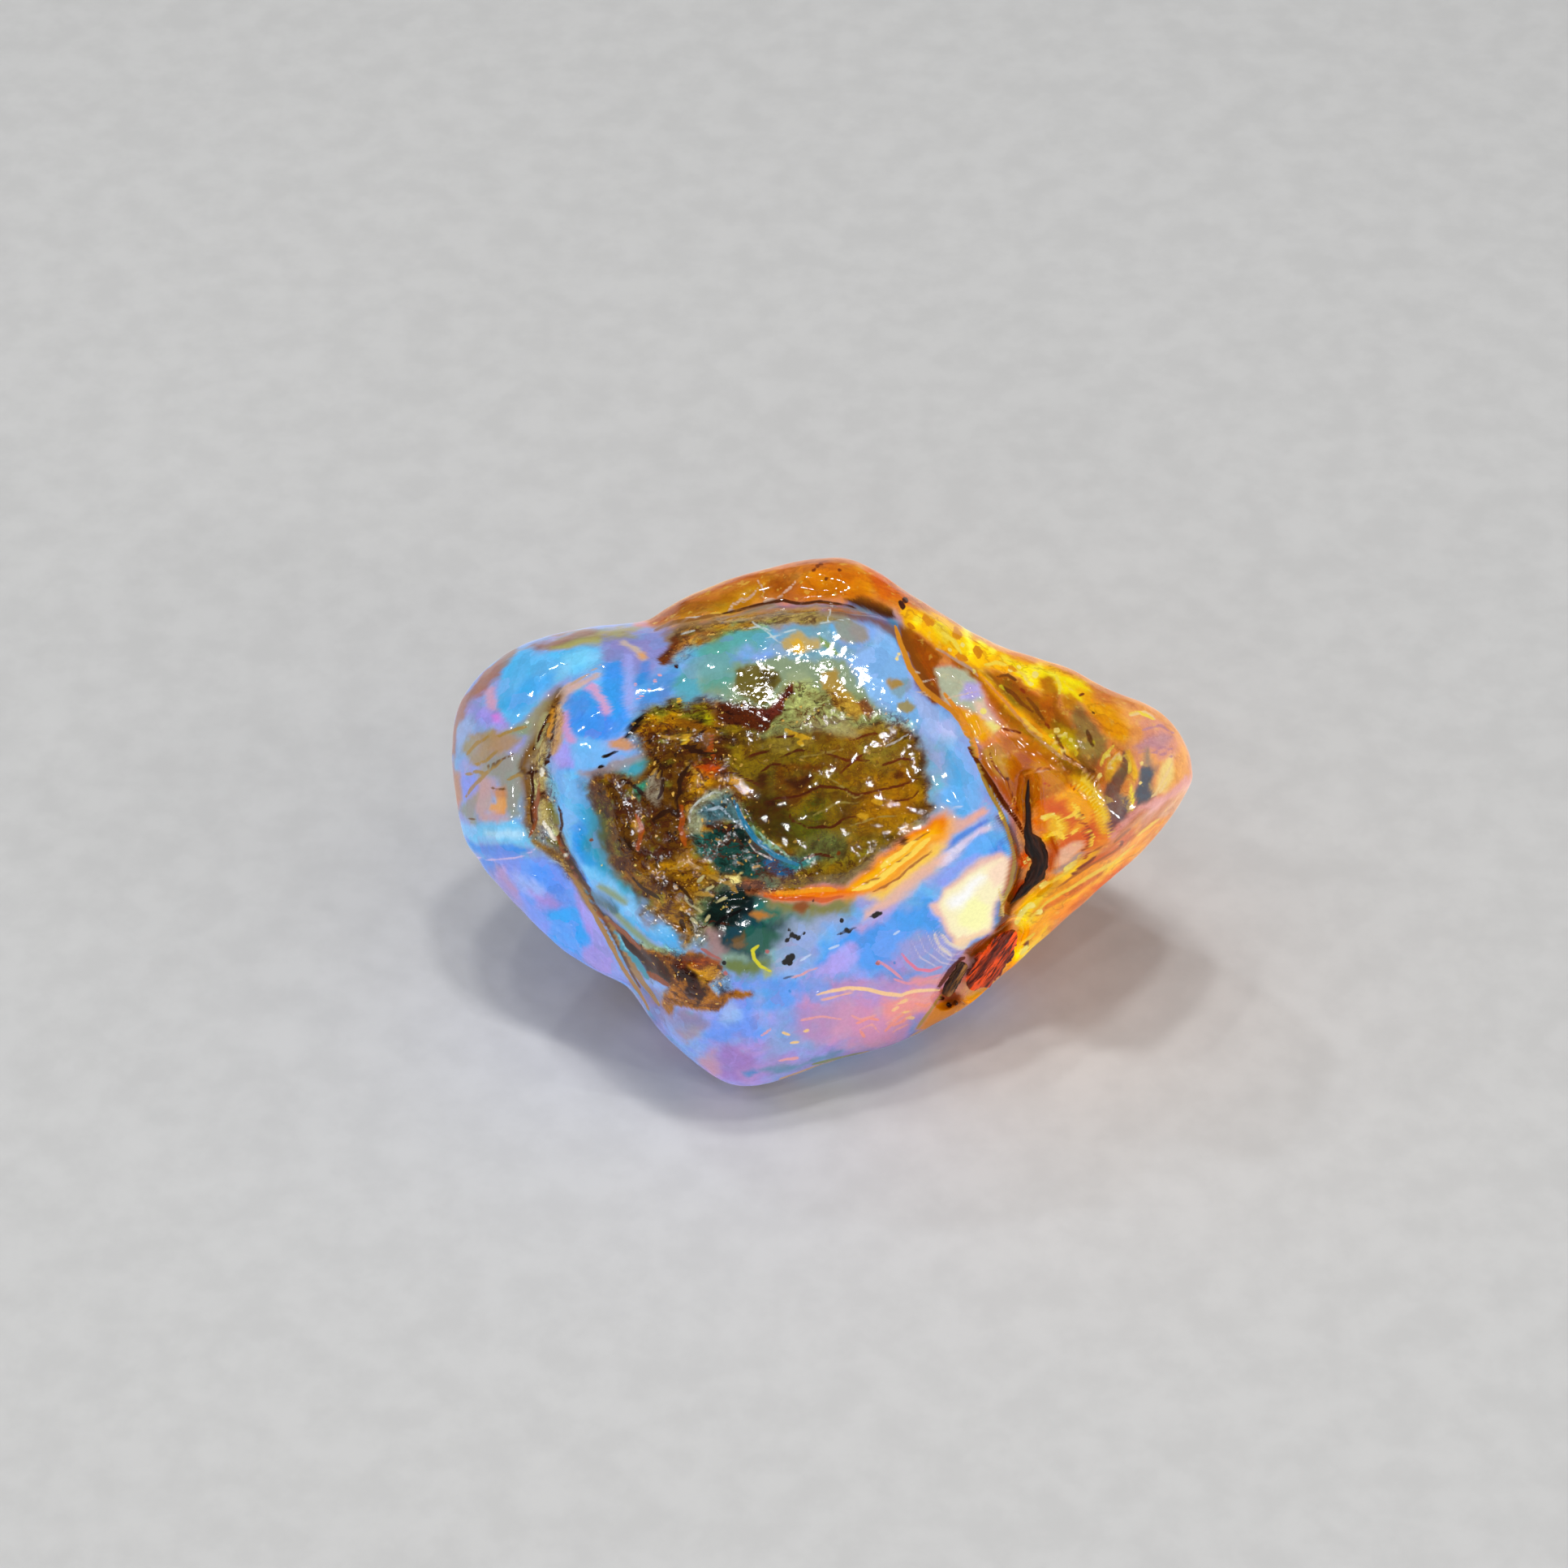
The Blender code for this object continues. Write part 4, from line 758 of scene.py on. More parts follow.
# Where debris makes the skin grainy, and where the resin's flow lines show, from 0 to 1:
# (value, border, wobble, outline)
DEBRIS = table("""
1 1.2 0.8: 248,255 260,242 302,226 322,232 342,222 362,232 400,236 445,222 480,220 530,232 578,252 596,270
 609,335 612,370 600,395 572,418 515,450 402,470 370,510 315,536 285,510 270,482 252,466 228,432 214,380
 192,354 184,330 222,320 252,322 262,306 248,280
0.5 2 0.6: 385,275 440,270 510,255 570,270 600,305 606,355 590,400 550,420 480,432 430,420 395,390 385,330
0.9 0.6 0.5: 282,608 292,585 230,520 270,535 340,545 360,562 370,595 400,596 350,614
0.8 0.6 0.5: 160,220 140,265 120,330 125,405 170,460 190,450 160,390 150,320 165,260
0.8 0.6 0.5: 282,185 300,150 350,132 470,120 510,132 350,155 300,185
""")
FLOWS = table("""
0.7 0.8 0.3: 582,135 600,180 630,230 670,275 710,345 728,410 720,470 610,670 770,630 990,420 970,190 670,70
 580,90
0.8 0.6 0.3: 270,142 320,138 430,110 510,107 570,118 590,135 570,30 370,30 250,100
0.15 0.8 0.4: 624,196 650,190 674,208 710,262 696,275 675,280 655,265 626,220
0.3 1.2 0.4: 745,370 775,335 810,325 832,360 842,410 780,442 758,420
0.3 1.2 0.4: 855,235 910,245 945,275 950,330 875,380 855,385 870,330 860,285
""")

# Where the skin is pitted, from 0 to 1: (value, border, wobble, outline)
PITTED = table("""
0.8 1.5 0.5: 150,320 180,320 190,380 210,440 260,470 320,530 400,560 390,610 330,620 270,540 200,470 160,420
0.25 1.5 0.5: 340,170 370,150 470,160 570,200 590,240 550,250 470,230 370,235
0.6 1.5 0.5: 200,320 270,270 350,270 370,370 330,520 250,460
0.8 1.5 0.5: 270,585 370,580 420,620 410,670 340,680 290,640
0.7 1 0.5: 354,250 375,235 445,220 450,230 415,268 365,270
0.7 1 0.5: 740,260 790,260 820,300 770,305
0.5 1.5 0.5: 110,250 160,250 160,410 120,410
0.9 1.5 0.5: 70,430 160,440 240,570 190,560
""")

# The share of the amber's colour that is painted glow, shone as emission to stand in for the light
# that passes through the resin: (value, border, wobble, outline)
PAINTED_GLOW = table("""
0.8 1 0.3: 250,145 320,142 430,112 510,105 570,115 620,225 655,252 675,285 705,345 725,410 720,470 706,510
 685,535 650,605 610,670 770,630 990,420 970,190 670,10 370,10 250,100
0.6 2 0.3: 10,110 270,70 570,110 710,330 720,470 620,610 370,730 10,470
0.8 0.8 0.3: 620,492 634,466 676,436 706,422 717,436 688,518 648,530
0.8 0.8 0.3: 405,472 515,462 570,418 634,374 634,410 582,460 520,480 430,480
0.22 1 0.5: 248,255 302,226 400,236 480,220 578,252 609,335 600,395 515,450 402,470 332,526 260,478 194,370
 182,328 252,322
""")

# Fine grooves and ridges, where the viewer sees them: (rise, half width, route)
RELIEF = table("""
-0.3 0.55: 358,126 390,120 415,113 435,109 455,113 480,111 505,114 530,118 555,122 572,130
-0.2 0.6: 662,285 676,310 690,335 706,360 724,382 736,404
-0.25 0.5: 154,236 146,255 136,275 126,295 125,320 126,355 127,390
-0.22 0.5: 156,400 164,418 174,432 184,454 208,488 222,512 236,526 252,542 270,562
0.25 0.6: 146,285 138,305 137,330 136,355 142,375 144,395 160,412
0.3 0.6: 160,325 170,355 173,390 182,422 200,445 222,462 255,488 285,518 320,536
0.15 0.6: 572,140 580,165 590,192 608,218 628,232 644,246 660,275 682,330 706,378 720,432 708,478 696,515
0.22 0.55: 836,400 855,382 885,362 915,342 938,328
0.2 0.5: 212,188 186,204 166,218 154,232
0.2 0.4: 476,596 500,589 540,589 580,596 628,590
0.2 0.45: 678,202 710,236 738,270 770,298 800,314 822,332
-0.2 0.5: 110,427 125,420 134,412 70,430 50,426
0.2 0.5: 60,385 110,382 125,392 138,410
-0.25 0.45: 366,470 410,466 470,464 520,458 560,430
0.18 0.45: 315,390 320,370 335,355 360,346 376,358 386,382 405,410 430,426
""")


def least_of(heights, blend):
    """The smooth minimum of several heights: edges between flats are rounded over about blend."""
    stack = np.stack(heights)
    low = stack.min(0)
    return low - blend * np.log(np.exp(-(stack - low) / blend).sum(0))


def most_of(heights, blend):
    """The smooth maximum: the same, turned over."""
    return -least_of([-h for h in heights], blend)


def flat_height(across, up, corners):
    """The height of the plane through three corners."""
    rows = np.array([(1.0, a, u) for a, u, _ in corners])
    level, slope_across, slope_up = np.linalg.solve(rows, [out for _, _, out in corners])
    return level + slope_across * across + slope_up * up


def crown_height(across, up, crown, curve):
    """A shallow bowl turned over: the crown's height less the squares of the distances from it."""
    return crown[2] - curve[0] * (across - crown[0]) ** 2 - curve[1] * (up - crown[1]) ** 2


def lobe_height(across, up, flats, blend, crown=()):
    """The height of a lobe: the lowest of its flats and its crown."""
    return least_of([flat_height(across, up, flat) for flat in flats] + list(crown), blend)


def route_place(across, up, route):
    """The distance from each point to a route of straight runs, and the share of the route's length
    at which its nearest point lies."""
    route = np.asarray(route, float)[:, :2]
    runs = np.hypot(*np.diff(route, axis=0).T)
    before = np.concatenate([[0.0], np.cumsum(runs)])
    nearest = np.full(across.shape, np.inf)
    place = np.zeros(across.shape)
    for start, end, run, passed in zip(route[:-1], route[1:], runs, before):
        ahead = (end - start) / run
        along = ((across - start[0]) * ahead[0] + (up - start[1]) * ahead[1]).clip(0.0, run)
        gap = np.hypot(across - start[0] - along * ahead[0], up - start[1] - along * ahead[1])
        place = np.where(gap < nearest, (passed + along) / before[-1], place)
        nearest = np.minimum(nearest, gap)
    return nearest, place


def fold_rise(across, up, folds):
    """The deepest crevice plus the highest crest at each point. Each has a bell's section."""
    rises = np.stack([
        rise * np.exp(-((route_place(across, up, route)[0] / half_width) ** 2))
        for route, rise, half_width in folds
    ])
    return rises.min(0).clip(max=0) + rises.max(0).clip(min=0)


def front_height(across, up):
    """The polished face: the highest of four faceted lobes, with its crests and crevices."""
    crown = crown_height(across, up, DOME_CROWN, DOME_CURVE)
    lobes = [lobe_height(across, up, DOME_FLATS, DOME_BLEND, [crown])]
    lobes += [lobe_height(across, up, flats, FLAT_BLEND) for flats in (LEFT_FLATS, TOP_FLATS, RIGHT_FLATS)]
    height = most_of(lobes, LOBE_BLEND) + fold_rise(across, up, FRONT_FOLDS)
    return np.maximum(height, LEAST_SWELL)


def back_height(across, up):
    """How far the back stands behind the face plane: one crown cut by flats, with two crevices."""
    crown = crown_height(across, up, BACK_CROWN, BACK_CURVE)
    height = lobe_height(across, up, BACK_FLATS, FLAT_BLEND, [crown])
    return np.maximum(height + fold_rise(across, up, BACK_FOLDS), LEAST_SWELL)


def rim_radius(angle):
    """The rim's distance from the middle at each angle, smoothed so that its corners are worn."""
    points = np.array(RIM)
    angles = np.arctan2(points[:, 1], points[:, 0])
    order = np.argsort(angles)
    radii = np.hypot(points[:, 0], points[:, 1])[order]
    angles = angles[order]
    steps = np.linspace(-np.pi, np.pi, RIM_STEPS, endpoint=False)
    even = np.interp(steps, angles, radii, period=2 * np.pi)
    turn = np.minimum(steps + np.pi, np.pi - steps)
    weights = np.exp(-((turn / RIM_WEAR) ** 2) / 2)
    worn = np.fft.irfft(np.fft.rfft(even) * np.fft.rfft(weights / weights.sum()), RIM_STEPS)
    return np.interp(angle, steps, worn, period=2 * np.pi)


def rim_lift(angle, inward):
    """How far out the rim is carried: a saddle that is level at the middle and full at the rim."""
    return RIM_LIFT * np.sin(2 * (angle - RIM_LIFT_START)) * inward


def skin_height(across, up):
    """How far out the face stands over points of the face plane: its height, rounded off towards
    the rim as the root of 1 less the sixth power of the share of the way there."""
    angle = np.arctan2(up, across)
    inward = (np.hypot(across, up) / rim_radius(angle)) ** 2
    return np.sqrt((1 - inward**3).clip(0, 1)) * front_height(across, up) + rim_lift(angle, inward)


def nodule_points(ball):
    """Carries points of a unit ball onto the stone, in face-plane millimetres. Seen square to the
    face, the ball's outline becomes the rim, and its near and far halves the face and the back."""
    x, y, z = ball.T
    angle = np.arctan2(y, x)
    inward = x**2 + y**2
    across, up = rim_radius(angle) * np.stack([x, y])
    height = np.where(z > 0, front_height(across, up), back_height(across, up))
    out = z * np.sqrt(1 + inward + inward**2) * height + rim_lift(angle, inward)
    points = np.stack([across, up, out], 1)
    outwards = ball * (1.0, 1.0, SWELL_FLATTENING)
    outwards /= np.linalg.norm(outwards, axis=1)[:, None]
    swell = sum(h * np.sin(points @ (a, u, o) + phase) for a, u, o, phase, h in SWELLS)
    return points + outwards * (swell * (1 - inward**4))[:, None]


def to_world(points):
    """Face-plane millimetres to metres, with the stone standing on its flat."""
    across, up, out = np.asarray(points, float).T
    sine, cosine = np.sin(FACE_ELEVATION), np.cos(FACE_ELEVATION)
    x = across + MIDDLE_SHIFT[0]
    y = up * sine - out * cosine + MIDDLE_SHIFT[1]
    z = up * cosine + out * sine + MIDDLE_HEIGHT
    return np.stack([x, y, z], 1) * UNIT


def core_reach(angle):
    """How far the front and back grids reach from the middle: a square with its corners drawn in."""
    fold = (angle + np.pi / 4) % (np.pi / 2) - np.pi / 4
    return CORE_REACH / np.sqrt(np.cos(fold))


def ball_grid():
    """A unit ball of a front grid, a back grid and a belt of rings between them, welded. A grid's
    point (s, t) lies at the share max(|s|, |t|) of the reach, at an angle even along each square
    ring. The belt's rings go out to the rim as a sine, and back in behind it. Gives the points and
    the squares."""
    steps = np.linspace(-1, 1, CORE_SQUARES + 1)
    s, t = np.meshgrid(steps, steps)
    sideways = abs(s) >= abs(t)
    longer = np.where(sideways, s, t)
    slant = np.pi / 4 * np.where(sideways, t, s) / np.where(longer == 0, 1.0, longer)
    angle = np.where(sideways, slant + np.pi * (s < 0), np.pi / 2 * np.sign(t) - slant)
    core = np.maximum(abs(s), abs(t)) * core_reach(angle)
    around = np.linspace(0, 2 * np.pi, 4 * CORE_SQUARES, endpoint=False) - np.pi / 4
    reach = core_reach(around)
    out = np.sin(np.linspace(0, np.pi / 2, FRONT_RINGS + 1))[:, None]
    back = np.sin(np.linspace(np.pi / 2, 0, BACK_RINGS + 1))[1:, None]
    belt = reach + (1 - reach) * np.concatenate([out, back])
    side = np.concatenate([np.ones(FRONT_RINGS + 1), -np.ones(BACK_RINGS)])[:, None]
    parts = []
    for radius, turn, facing in ((core, angle, 1.0), (belt, around + 0 * belt, side), (core, angle, -1.0)):
        depth = facing * np.sqrt((1 - radius**2).clip(0, 1))
        parts.append(np.stack([radius * np.cos(turn), radius * np.sin(turn), depth], -1).reshape(-1, 3))
    corner = np.arange(core.size).reshape(core.shape)
    square = np.stack([corner[:-1, :-1], corner[:-1, 1:], corner[1:, 1:], corner[1:, :-1]], -1)
    ring = np.arange(belt.size).reshape(belt.shape)
    after = np.roll(ring, -1, 1)
    strip = np.stack([ring[:-1], ring[1:], after[1:], after[:-1]], -1) + core.size
    squares = np.concatenate([
        square.reshape(-1, 4), strip.reshape(-1, 4),
        square.reshape(-1, 4)[:, ::-1] + core.size + belt.size,
    ])
    welded, first = np.unique(np.round(np.concatenate(parts), 6), axis=0, return_inverse=True)
    return welded, first.reshape(-1)[squares]


def worn(points, squares, passes):
    """Draws each point halfway to the mean of its neighbours, several times."""
    ends = np.concatenate([squares, squares[:, ::-1]]).reshape(-1)
    others = np.concatenate([np.roll(squares, -1, 1), np.roll(squares, -1, 1)[:, ::-1]]).reshape(-1)
    ends, others = np.concatenate([ends, others]), np.concatenate([others, ends])
    count = np.bincount(ends, minlength=len(points))
    for _ in range(passes):
        around = np.stack([np.bincount(ends, points[others, k], len(points)) for k in range(3)], 1)
        points = (points + around / count[:, None]) / 2
    return points


def corner_normals(points, squares):
    """Each point's outward direction: the sum of the cross products of its squares' diagonals."""
    a, b, c, d = (points[squares[:, k]] for k in range(4))
    cross = np.cross(c - a, d - b)
    total = np.stack([
        sum(np.bincount(squares[:, k], cross[:, axis], len(points)) for k in range(4))
        for axis in range(3)
    ], 1)
    return total / np.linalg.norm(total, axis=1)[:, None]


def lattice_noise(points, cell, seed):
    """Smooth noise between -1 and 1: random values at the corners of a cubic lattice, blended by
    3t² - 2t³ along each axis."""
    places = points / cell
    base = np.floor(places).astype(np.int64)
    share = places - base
    share = share * share * (3 - 2 * share)
    values = np.random.default_rng(seed).uniform(-1, 1, NOISE_VALUES)
    total = np.zeros(len(points))
    for corner in itertools.product((0, 1), repeat=3):
        mixed = (base + corner) @ np.array(NOISE_PRIMES)
        weight = np.prod(np.where(corner, share, 1 - share), axis=1)
        total += weight * values[(mixed ^ (mixed >> 13)) & (NOISE_VALUES - 1)]
    return total


def cloud_noise(points, cell, seed, octaves=4, fall=0.5):
    """Several noises summed, each with cells half as wide as the one before, and fall times as strong."""
    parts = [lattice_noise(points, cell / 2**k, seed + k) * fall**k for k in range(octaves)]
    return sum(parts) * (1 - fall) / 0.7


def seen_from_eye(points):
    """Where each point shows on the face plane: drawn away from the eye's axis as its distance from
    the eye shortens."""
    return EYE_AXIS + (points[:, :2] - EYE_AXIS) * (EYE_DISTANCE / (EYE_DISTANCE - points[:, 2:]))


def traced(outline):
    """The corners of an outline or route, from steps across and down the window to drawn
    millimetres across and up."""
    steps = np.array([corner.split(",") for corner in outline.split()], float)
    return (steps - PICTURE_MIDDLE) * (PICTURE_STEP, -PICTURE_STEP)


def linear(colour):
    """A colour in six hex digits as linear red, green and blue."""
    value = np.array([int(colour[k:k + 2], 16) for k in (0, 2, 4)]) / 255
    return np.where(value <= 0.04045, value / 12.92, ((value + 0.055) / 1.055) ** 2.4)


def eased(share):
    """A share cut to between 0 and 1 and eased at both ends."""
    share = share.clip(0, 1)
    return share * share * (3 - 2 * share)


def faded(ball_depth, fade):
    """1 on the near side of the ball, and 0 behind the fade's depth."""
    depth, width = fade
    return eased((ball_depth - depth) / width)


def inside_share(at, outline, soft):
    """1 inside an outline and 0 outside, eased over a border of the width soft. A point is inside if
    a line from it crosses the outline an odd number of times."""
    across, up = at.T
    gap = route_place(across, up, np.vstack([outline, outline[:1]]))[0]
    inside = np.zeros(len(at), bool)
    for (a0, u0), (a1, u1) in zip(outline, np.roll(outline, -1, 0)):
        spans = (u0 > up) != (u1 > up)
        inside ^= spans & (across < (a1 - a0) * (up - u0) / (u1 - u0 + 1e-12) + a0)
    return eased(0.5 + np.where(inside, gap, -gap) / soft)


def streak_depth(at, route, half_width):
    """How far inside a streak's edges each point lies. It narrows towards both ends as the fourth
    root of 4t(1 - t)."""
    gap, place = route_place(*at.T, route)
    return half_width * (4 * place * (1 - place)).clip(1e-6, 1) ** 0.25 - gap


class Skin:
    """The skin's points with the colours painted on them."""

    def __init__(self, face_points, ball_depth):
        self.at = seen_from_eye(face_points)
        self.front = faded(ball_depth, PAINT_FADE)
        cell, octaves, fall = WANDER_NOISE
        wander = [cloud_noise(face_points, cell, seed, octaves, fall) for seed in WANDER_SEEDS]
        self.wander = np.stack(wander, 1)
        self.colour = np.zeros((len(face_points), 3))
        self.clear = np.zeros(len(face_points))
        self.glow = np.zeros(len(face_points))
        self.thread = np.zeros((len(face_points), 4))
        self.thread[:, 3] = -THREAD_REACH

    def near(self, places, margin):
        """The points within a box round some places."""
        low, high = places.min(0) - margin, places.max(0) + margin
        return np.flatnonzero((self.front > 0) & ((self.at > low) & (self.at < high)).all(1))

    def cloud(self, outline, soft, wobble):
        """The points of a cloud and its share at each."""
        outline = traced(outline)
        some = self.near(outline, soft + WANDER * wobble)
        at = self.at[some] + WANDER * wobble * self.wander[some]
        return some, inside_share(at, outline, soft) * self.front[some]

    def tint(self, some, share, colour, strength):
        """Mixes a colour into some of the points."""
        share = (share * strength)[:, None]
        self.colour[some] = self.colour[some] * (1 - share) + linear(colour) * share

    def paint_clouds(self, rows):
        """Paints clouds one over another."""
        for _, colour, strength, soft, wobble, outline in rows:
            some, share = self.cloud(outline, soft, wobble)
            self.tint(some, share, colour, strength)

    def lay_thread(self, some, depth, colour, strength):
        """Keeps a thread's colour, mixed with the paint under it, and how far inside its edges each
        point is, wherever no other thread is nearer. The finish draws its edges from that."""
        nearer = (depth > self.thread[some, 3]) & (self.front[some] > 0.5)
        some, depth = some[nearer], depth[nearer]
        under = self.colour[some]
        self.thread[some] = np.column_stack([under + (linear(colour) - under) * strength, depth])

    def paint_streaks(self, rows):
        """Paints the broad streaks, and lays the narrow ones as threads."""
        for _, colour, strength, half_width, soft, wobble, *routes in rows:
            for route in map(traced, routes):
                some = self.near(route, half_width + wobble + THREAD_REACH)
                at = self.at[some] + wobble * self.wander[some]
                depth = streak_depth(at, route, half_width)
                if half_width < THREAD_LIMIT:
                    self.lay_thread(some, depth, colour, strength)
                else:
                    share = eased(0.5 + depth / (2 * soft * half_width)) * self.front[some]
                    self.tint(some, share, colour, strength)

    def lay_flecks(self, rows):
        """Lays round flecks like threads, so that they have sharp edges."""
        for colour, radius, places in rows:
            for place in traced(places):
                some = self.near(place[None], 1.5 * radius + THREAD_REACH)
                gap = np.hypot(*(self.at[some] + FLECK_WANDER * self.wander[some] - place).T)
                self.lay_thread(some, radius - gap, colour, 1.0)

    def set_levels(self, levels, rows):
        """Sets a level at each point, one outline over another."""
        for value, soft, wobble, outline in rows:
            some, share = self.cloud(outline, soft, wobble)
            levels[some] += (value - levels[some]) * share


def colour_ramp(value, stops):
    """Colours blended between stops, each a value and a colour."""
    places = [place for place, _ in stops]
    colours = np.array([linear(colour) for _, colour in stops])
    return np.stack([np.interp(value, places, colours[:, k]) for k in range(3)], 1)


def blended(colours, others, share):
    """Colours mixed with others by a share at each point."""
    return colours + (others - colours) * share[:, None]


def bark_depth(across, up, route, thickness):
    """How far the skin dips round a bit of bark, so that it lies open in its crevice: the depth of
    its underside and the gap, eased over the gap's width beside it."""
    gap, place = route_place(across, up, route)
    stations = np.array(route)
    runs = np.hypot(*np.diff(stations[:, :2], axis=0).T)
    before = np.concatenate([[0.0], np.cumsum(runs)]) / runs.sum()
    half = np.interp(place, before, stations[:, 2])
    return (thickness + BARK_INSET + 0.2) * eased((half + 2 * BARK_GAP - gap) / BARK_GAP)


def relieved(points, outwards, ball_depth):
    """The skin with its fine relief: grooves, ridges, ripples, and the dips round the bark."""
    at = seen_from_eye(points)
    front = faded(ball_depth, RELIEF_FADE)
    rise = fold_rise(*at.T, [(traced(route), height, half) for height, half, route in RELIEF]) * front
    rise += RIPPLE_HEIGHT * cloud_noise(points, 1.3, 41, 3)
    dip = np.max([
        bark_depth(points[:, 0], points[:, 1], route, thickness)
        for _, _, _, route, thickness, *_ in BARKS
    ], axis=0) * front
    moved = points + outwards * rise[:, None]
    moved[:, 2] -= dip
    return moved


def painted_skin(points, ball_depth):
    """Lays on the grounds, the mottling, the clouds, the streaks and the flecks in turn."""
    skin = Skin(points, ball_depth)
    stretched = points * (0.55, 1.0, 0.8)
    broad = cloud_noise(points, 5.0, 61)
    fine = cloud_noise(points, 1.5, 71)
    shreds = cloud_noise(stretched, 1.1, 81)
    crumbs = cloud_noise(points, 0.8, 85, 3)

    skin.paint_clouds(GROUNDS)
    debris, flows, pitted = (np.zeros(len(points)) for _ in range(3))
    skin.set_levels(debris, DEBRIS)
    skin.set_levels(flows, FLOWS)
    skin.set_levels(pitted, PITTED)
    # The share of painted glow at each point
    skin.set_levels(skin.glow, PAINTED_GLOW)
    skin.set_levels(skin.clear, CLEARNESS)

    opal = colour_ramp(fine + 0.4 * broad, OPAL_STOPS)
    skin.colour = blended(skin.colour, opal, 0.30 * (1 - flows) * (1 - debris))
    for rows in (LEFT_LOBE_CLOUDS, DOME_RIM_CLOUDS, FLANK_CLOUDS):
        skin.paint_clouds(rows)
    skin.colour = blended(skin.colour, opal, 0.12 * (1 - flows) * (1 - debris))
    skin.paint_clouds(TOP_RIM_CLOUDS)

    skin.paint_clouds(WINDOW_CLOUDS)
    for colour, strength, noise, least, width in (
        ("381004", 0.85, -shreds, 0.12, 0.5),
        ("c89418", 0.75, shreds, 0.25, 0.5),
        ("1c0802", 0.80, crumbs, 0.42, 0.12),
        ("7c8430", 0.50, -crumbs, 0.35, 0.2),
    ):
        share = strength * (debris * skin.front) * eased((noise - least) / width)
        skin.colour = blended(skin.colour, linear(colour), share)
    for rows in (DOME_TOP_CLOUDS, CRUST_CLOUDS, ORANGE_BAND_CLOUDS, CREAM_CLOUDS, RIGHT_LOBE_CLOUDS):
        skin.paint_clouds(rows)
    honey = colour_ramp(shreds + 0.3 * fine, HONEY_STOPS)
    skin.colour = blended(skin.colour, honey, 0.25 * flows)

    for rows in (WISPS, HONEY_STREAKS, FOLD_STREAKS, WINDOW_STREAKS, FLANK_STREAKS, EDGE_STREAKS):
        skin.paint_streaks(rows)
    skin.lay_flecks(FLECKS)

    # The back: honey amber to the right and top, blue over the rest, with crusts of debris
    honeyed = eased(0.5 + (points[:, 0] - 5.0 + 0.8 * points[:, 1] + 6.0 * broad) / 8.0)
    back = blended(colour_ramp(fine + 0.6 * broad, OPAL_STOPS), colour_ramp(shreds, HONEY_STOPS), honeyed)
    crust = eased((cloud_noise(points, 4.0, 91) - 0.25) / 0.12) * (1 - 0.6 * honeyed)
    back = blended(back, colour_ramp(shreds, CRUMB_STOPS), crust)
    behind = 1 - skin.front
    skin.colour = blended(skin.colour, back, behind)
    skin.clear += (0.15 + 0.5 * honeyed * (1 - crust) - skin.clear) * behind
    # Painted glow on the back, fading where crusts lie
    skin.glow += (0.2 * (1 - crust) - skin.glow) * behind
    debris += (crust - debris) * behind
    pitted += (0.3 - pitted) * behind
    levels = np.stack([skin.glow, pitted, debris, flows + (honeyed - flows) * behind], 1)
    grey = skin.colour.mean(1, keepdims=True)
    vivid = (grey + VIVIDNESS * (skin.colour - grey)).clip(0.0, 1.0)
    return np.column_stack([vivid, skin.clear]), levels, skin.thread


def new_piece(name, points, faces, material, replaced):
    """A smooth mesh in world metres that rides on the stone and stands for a solid."""
    mesh = bpy.data.meshes.new(name)
    mesh.from_pydata(points.tolist(), [], faces)
    mesh.polygons.foreach_set("use_smooth", np.ones(len(mesh.polygons), bool))
    mesh.materials.append(material)
    piece = bpy.data.objects.new(name, mesh)
    bpy.context.collection.objects.link(piece)
    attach(piece, "root")
    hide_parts(replaced)
    return piece


def set_attribute(piece, name, values):
    """Stores four numbers for each point under a name that materials read."""
    layer = piece.data.attributes.new(name, "FLOAT_COLOR", "POINT")
    layer.data.foreach_set("color", values.ravel())


class Wire:
    """A node's output. Sums, differences, products and quotients of wires and numbers add Math nodes."""

    def __init__(self, finish, socket):
        self.finish, self.socket = finish, socket

    def math(self, operation, first, second=0.0, clamp=False):
        settings = {"operation": operation, "use_clamp": clamp}
        return self.finish.node("Math", settings, {0: first, 1: second})

    def __add__(self, other):
        return self.math("ADD", self, other)

    def __sub__(self, other):
        return self.math("SUBTRACT", self, other)

    def __rsub__(self, other):
        return self.math("SUBTRACT", other, self)

    def __mul__(self, other):
        return self.math("MULTIPLY", self, other)

    def __truediv__(self, other):
        return self.math("DIVIDE", self, other)

    __radd__, __rmul__ = __add__, __mul__

    def __abs__(self):
        return self.math("ABSOLUTE", self)

    def clamped(self):
        """The value cut to between 0 and 1."""
        return self.math("ADD", self, 0.0, clamp=True)


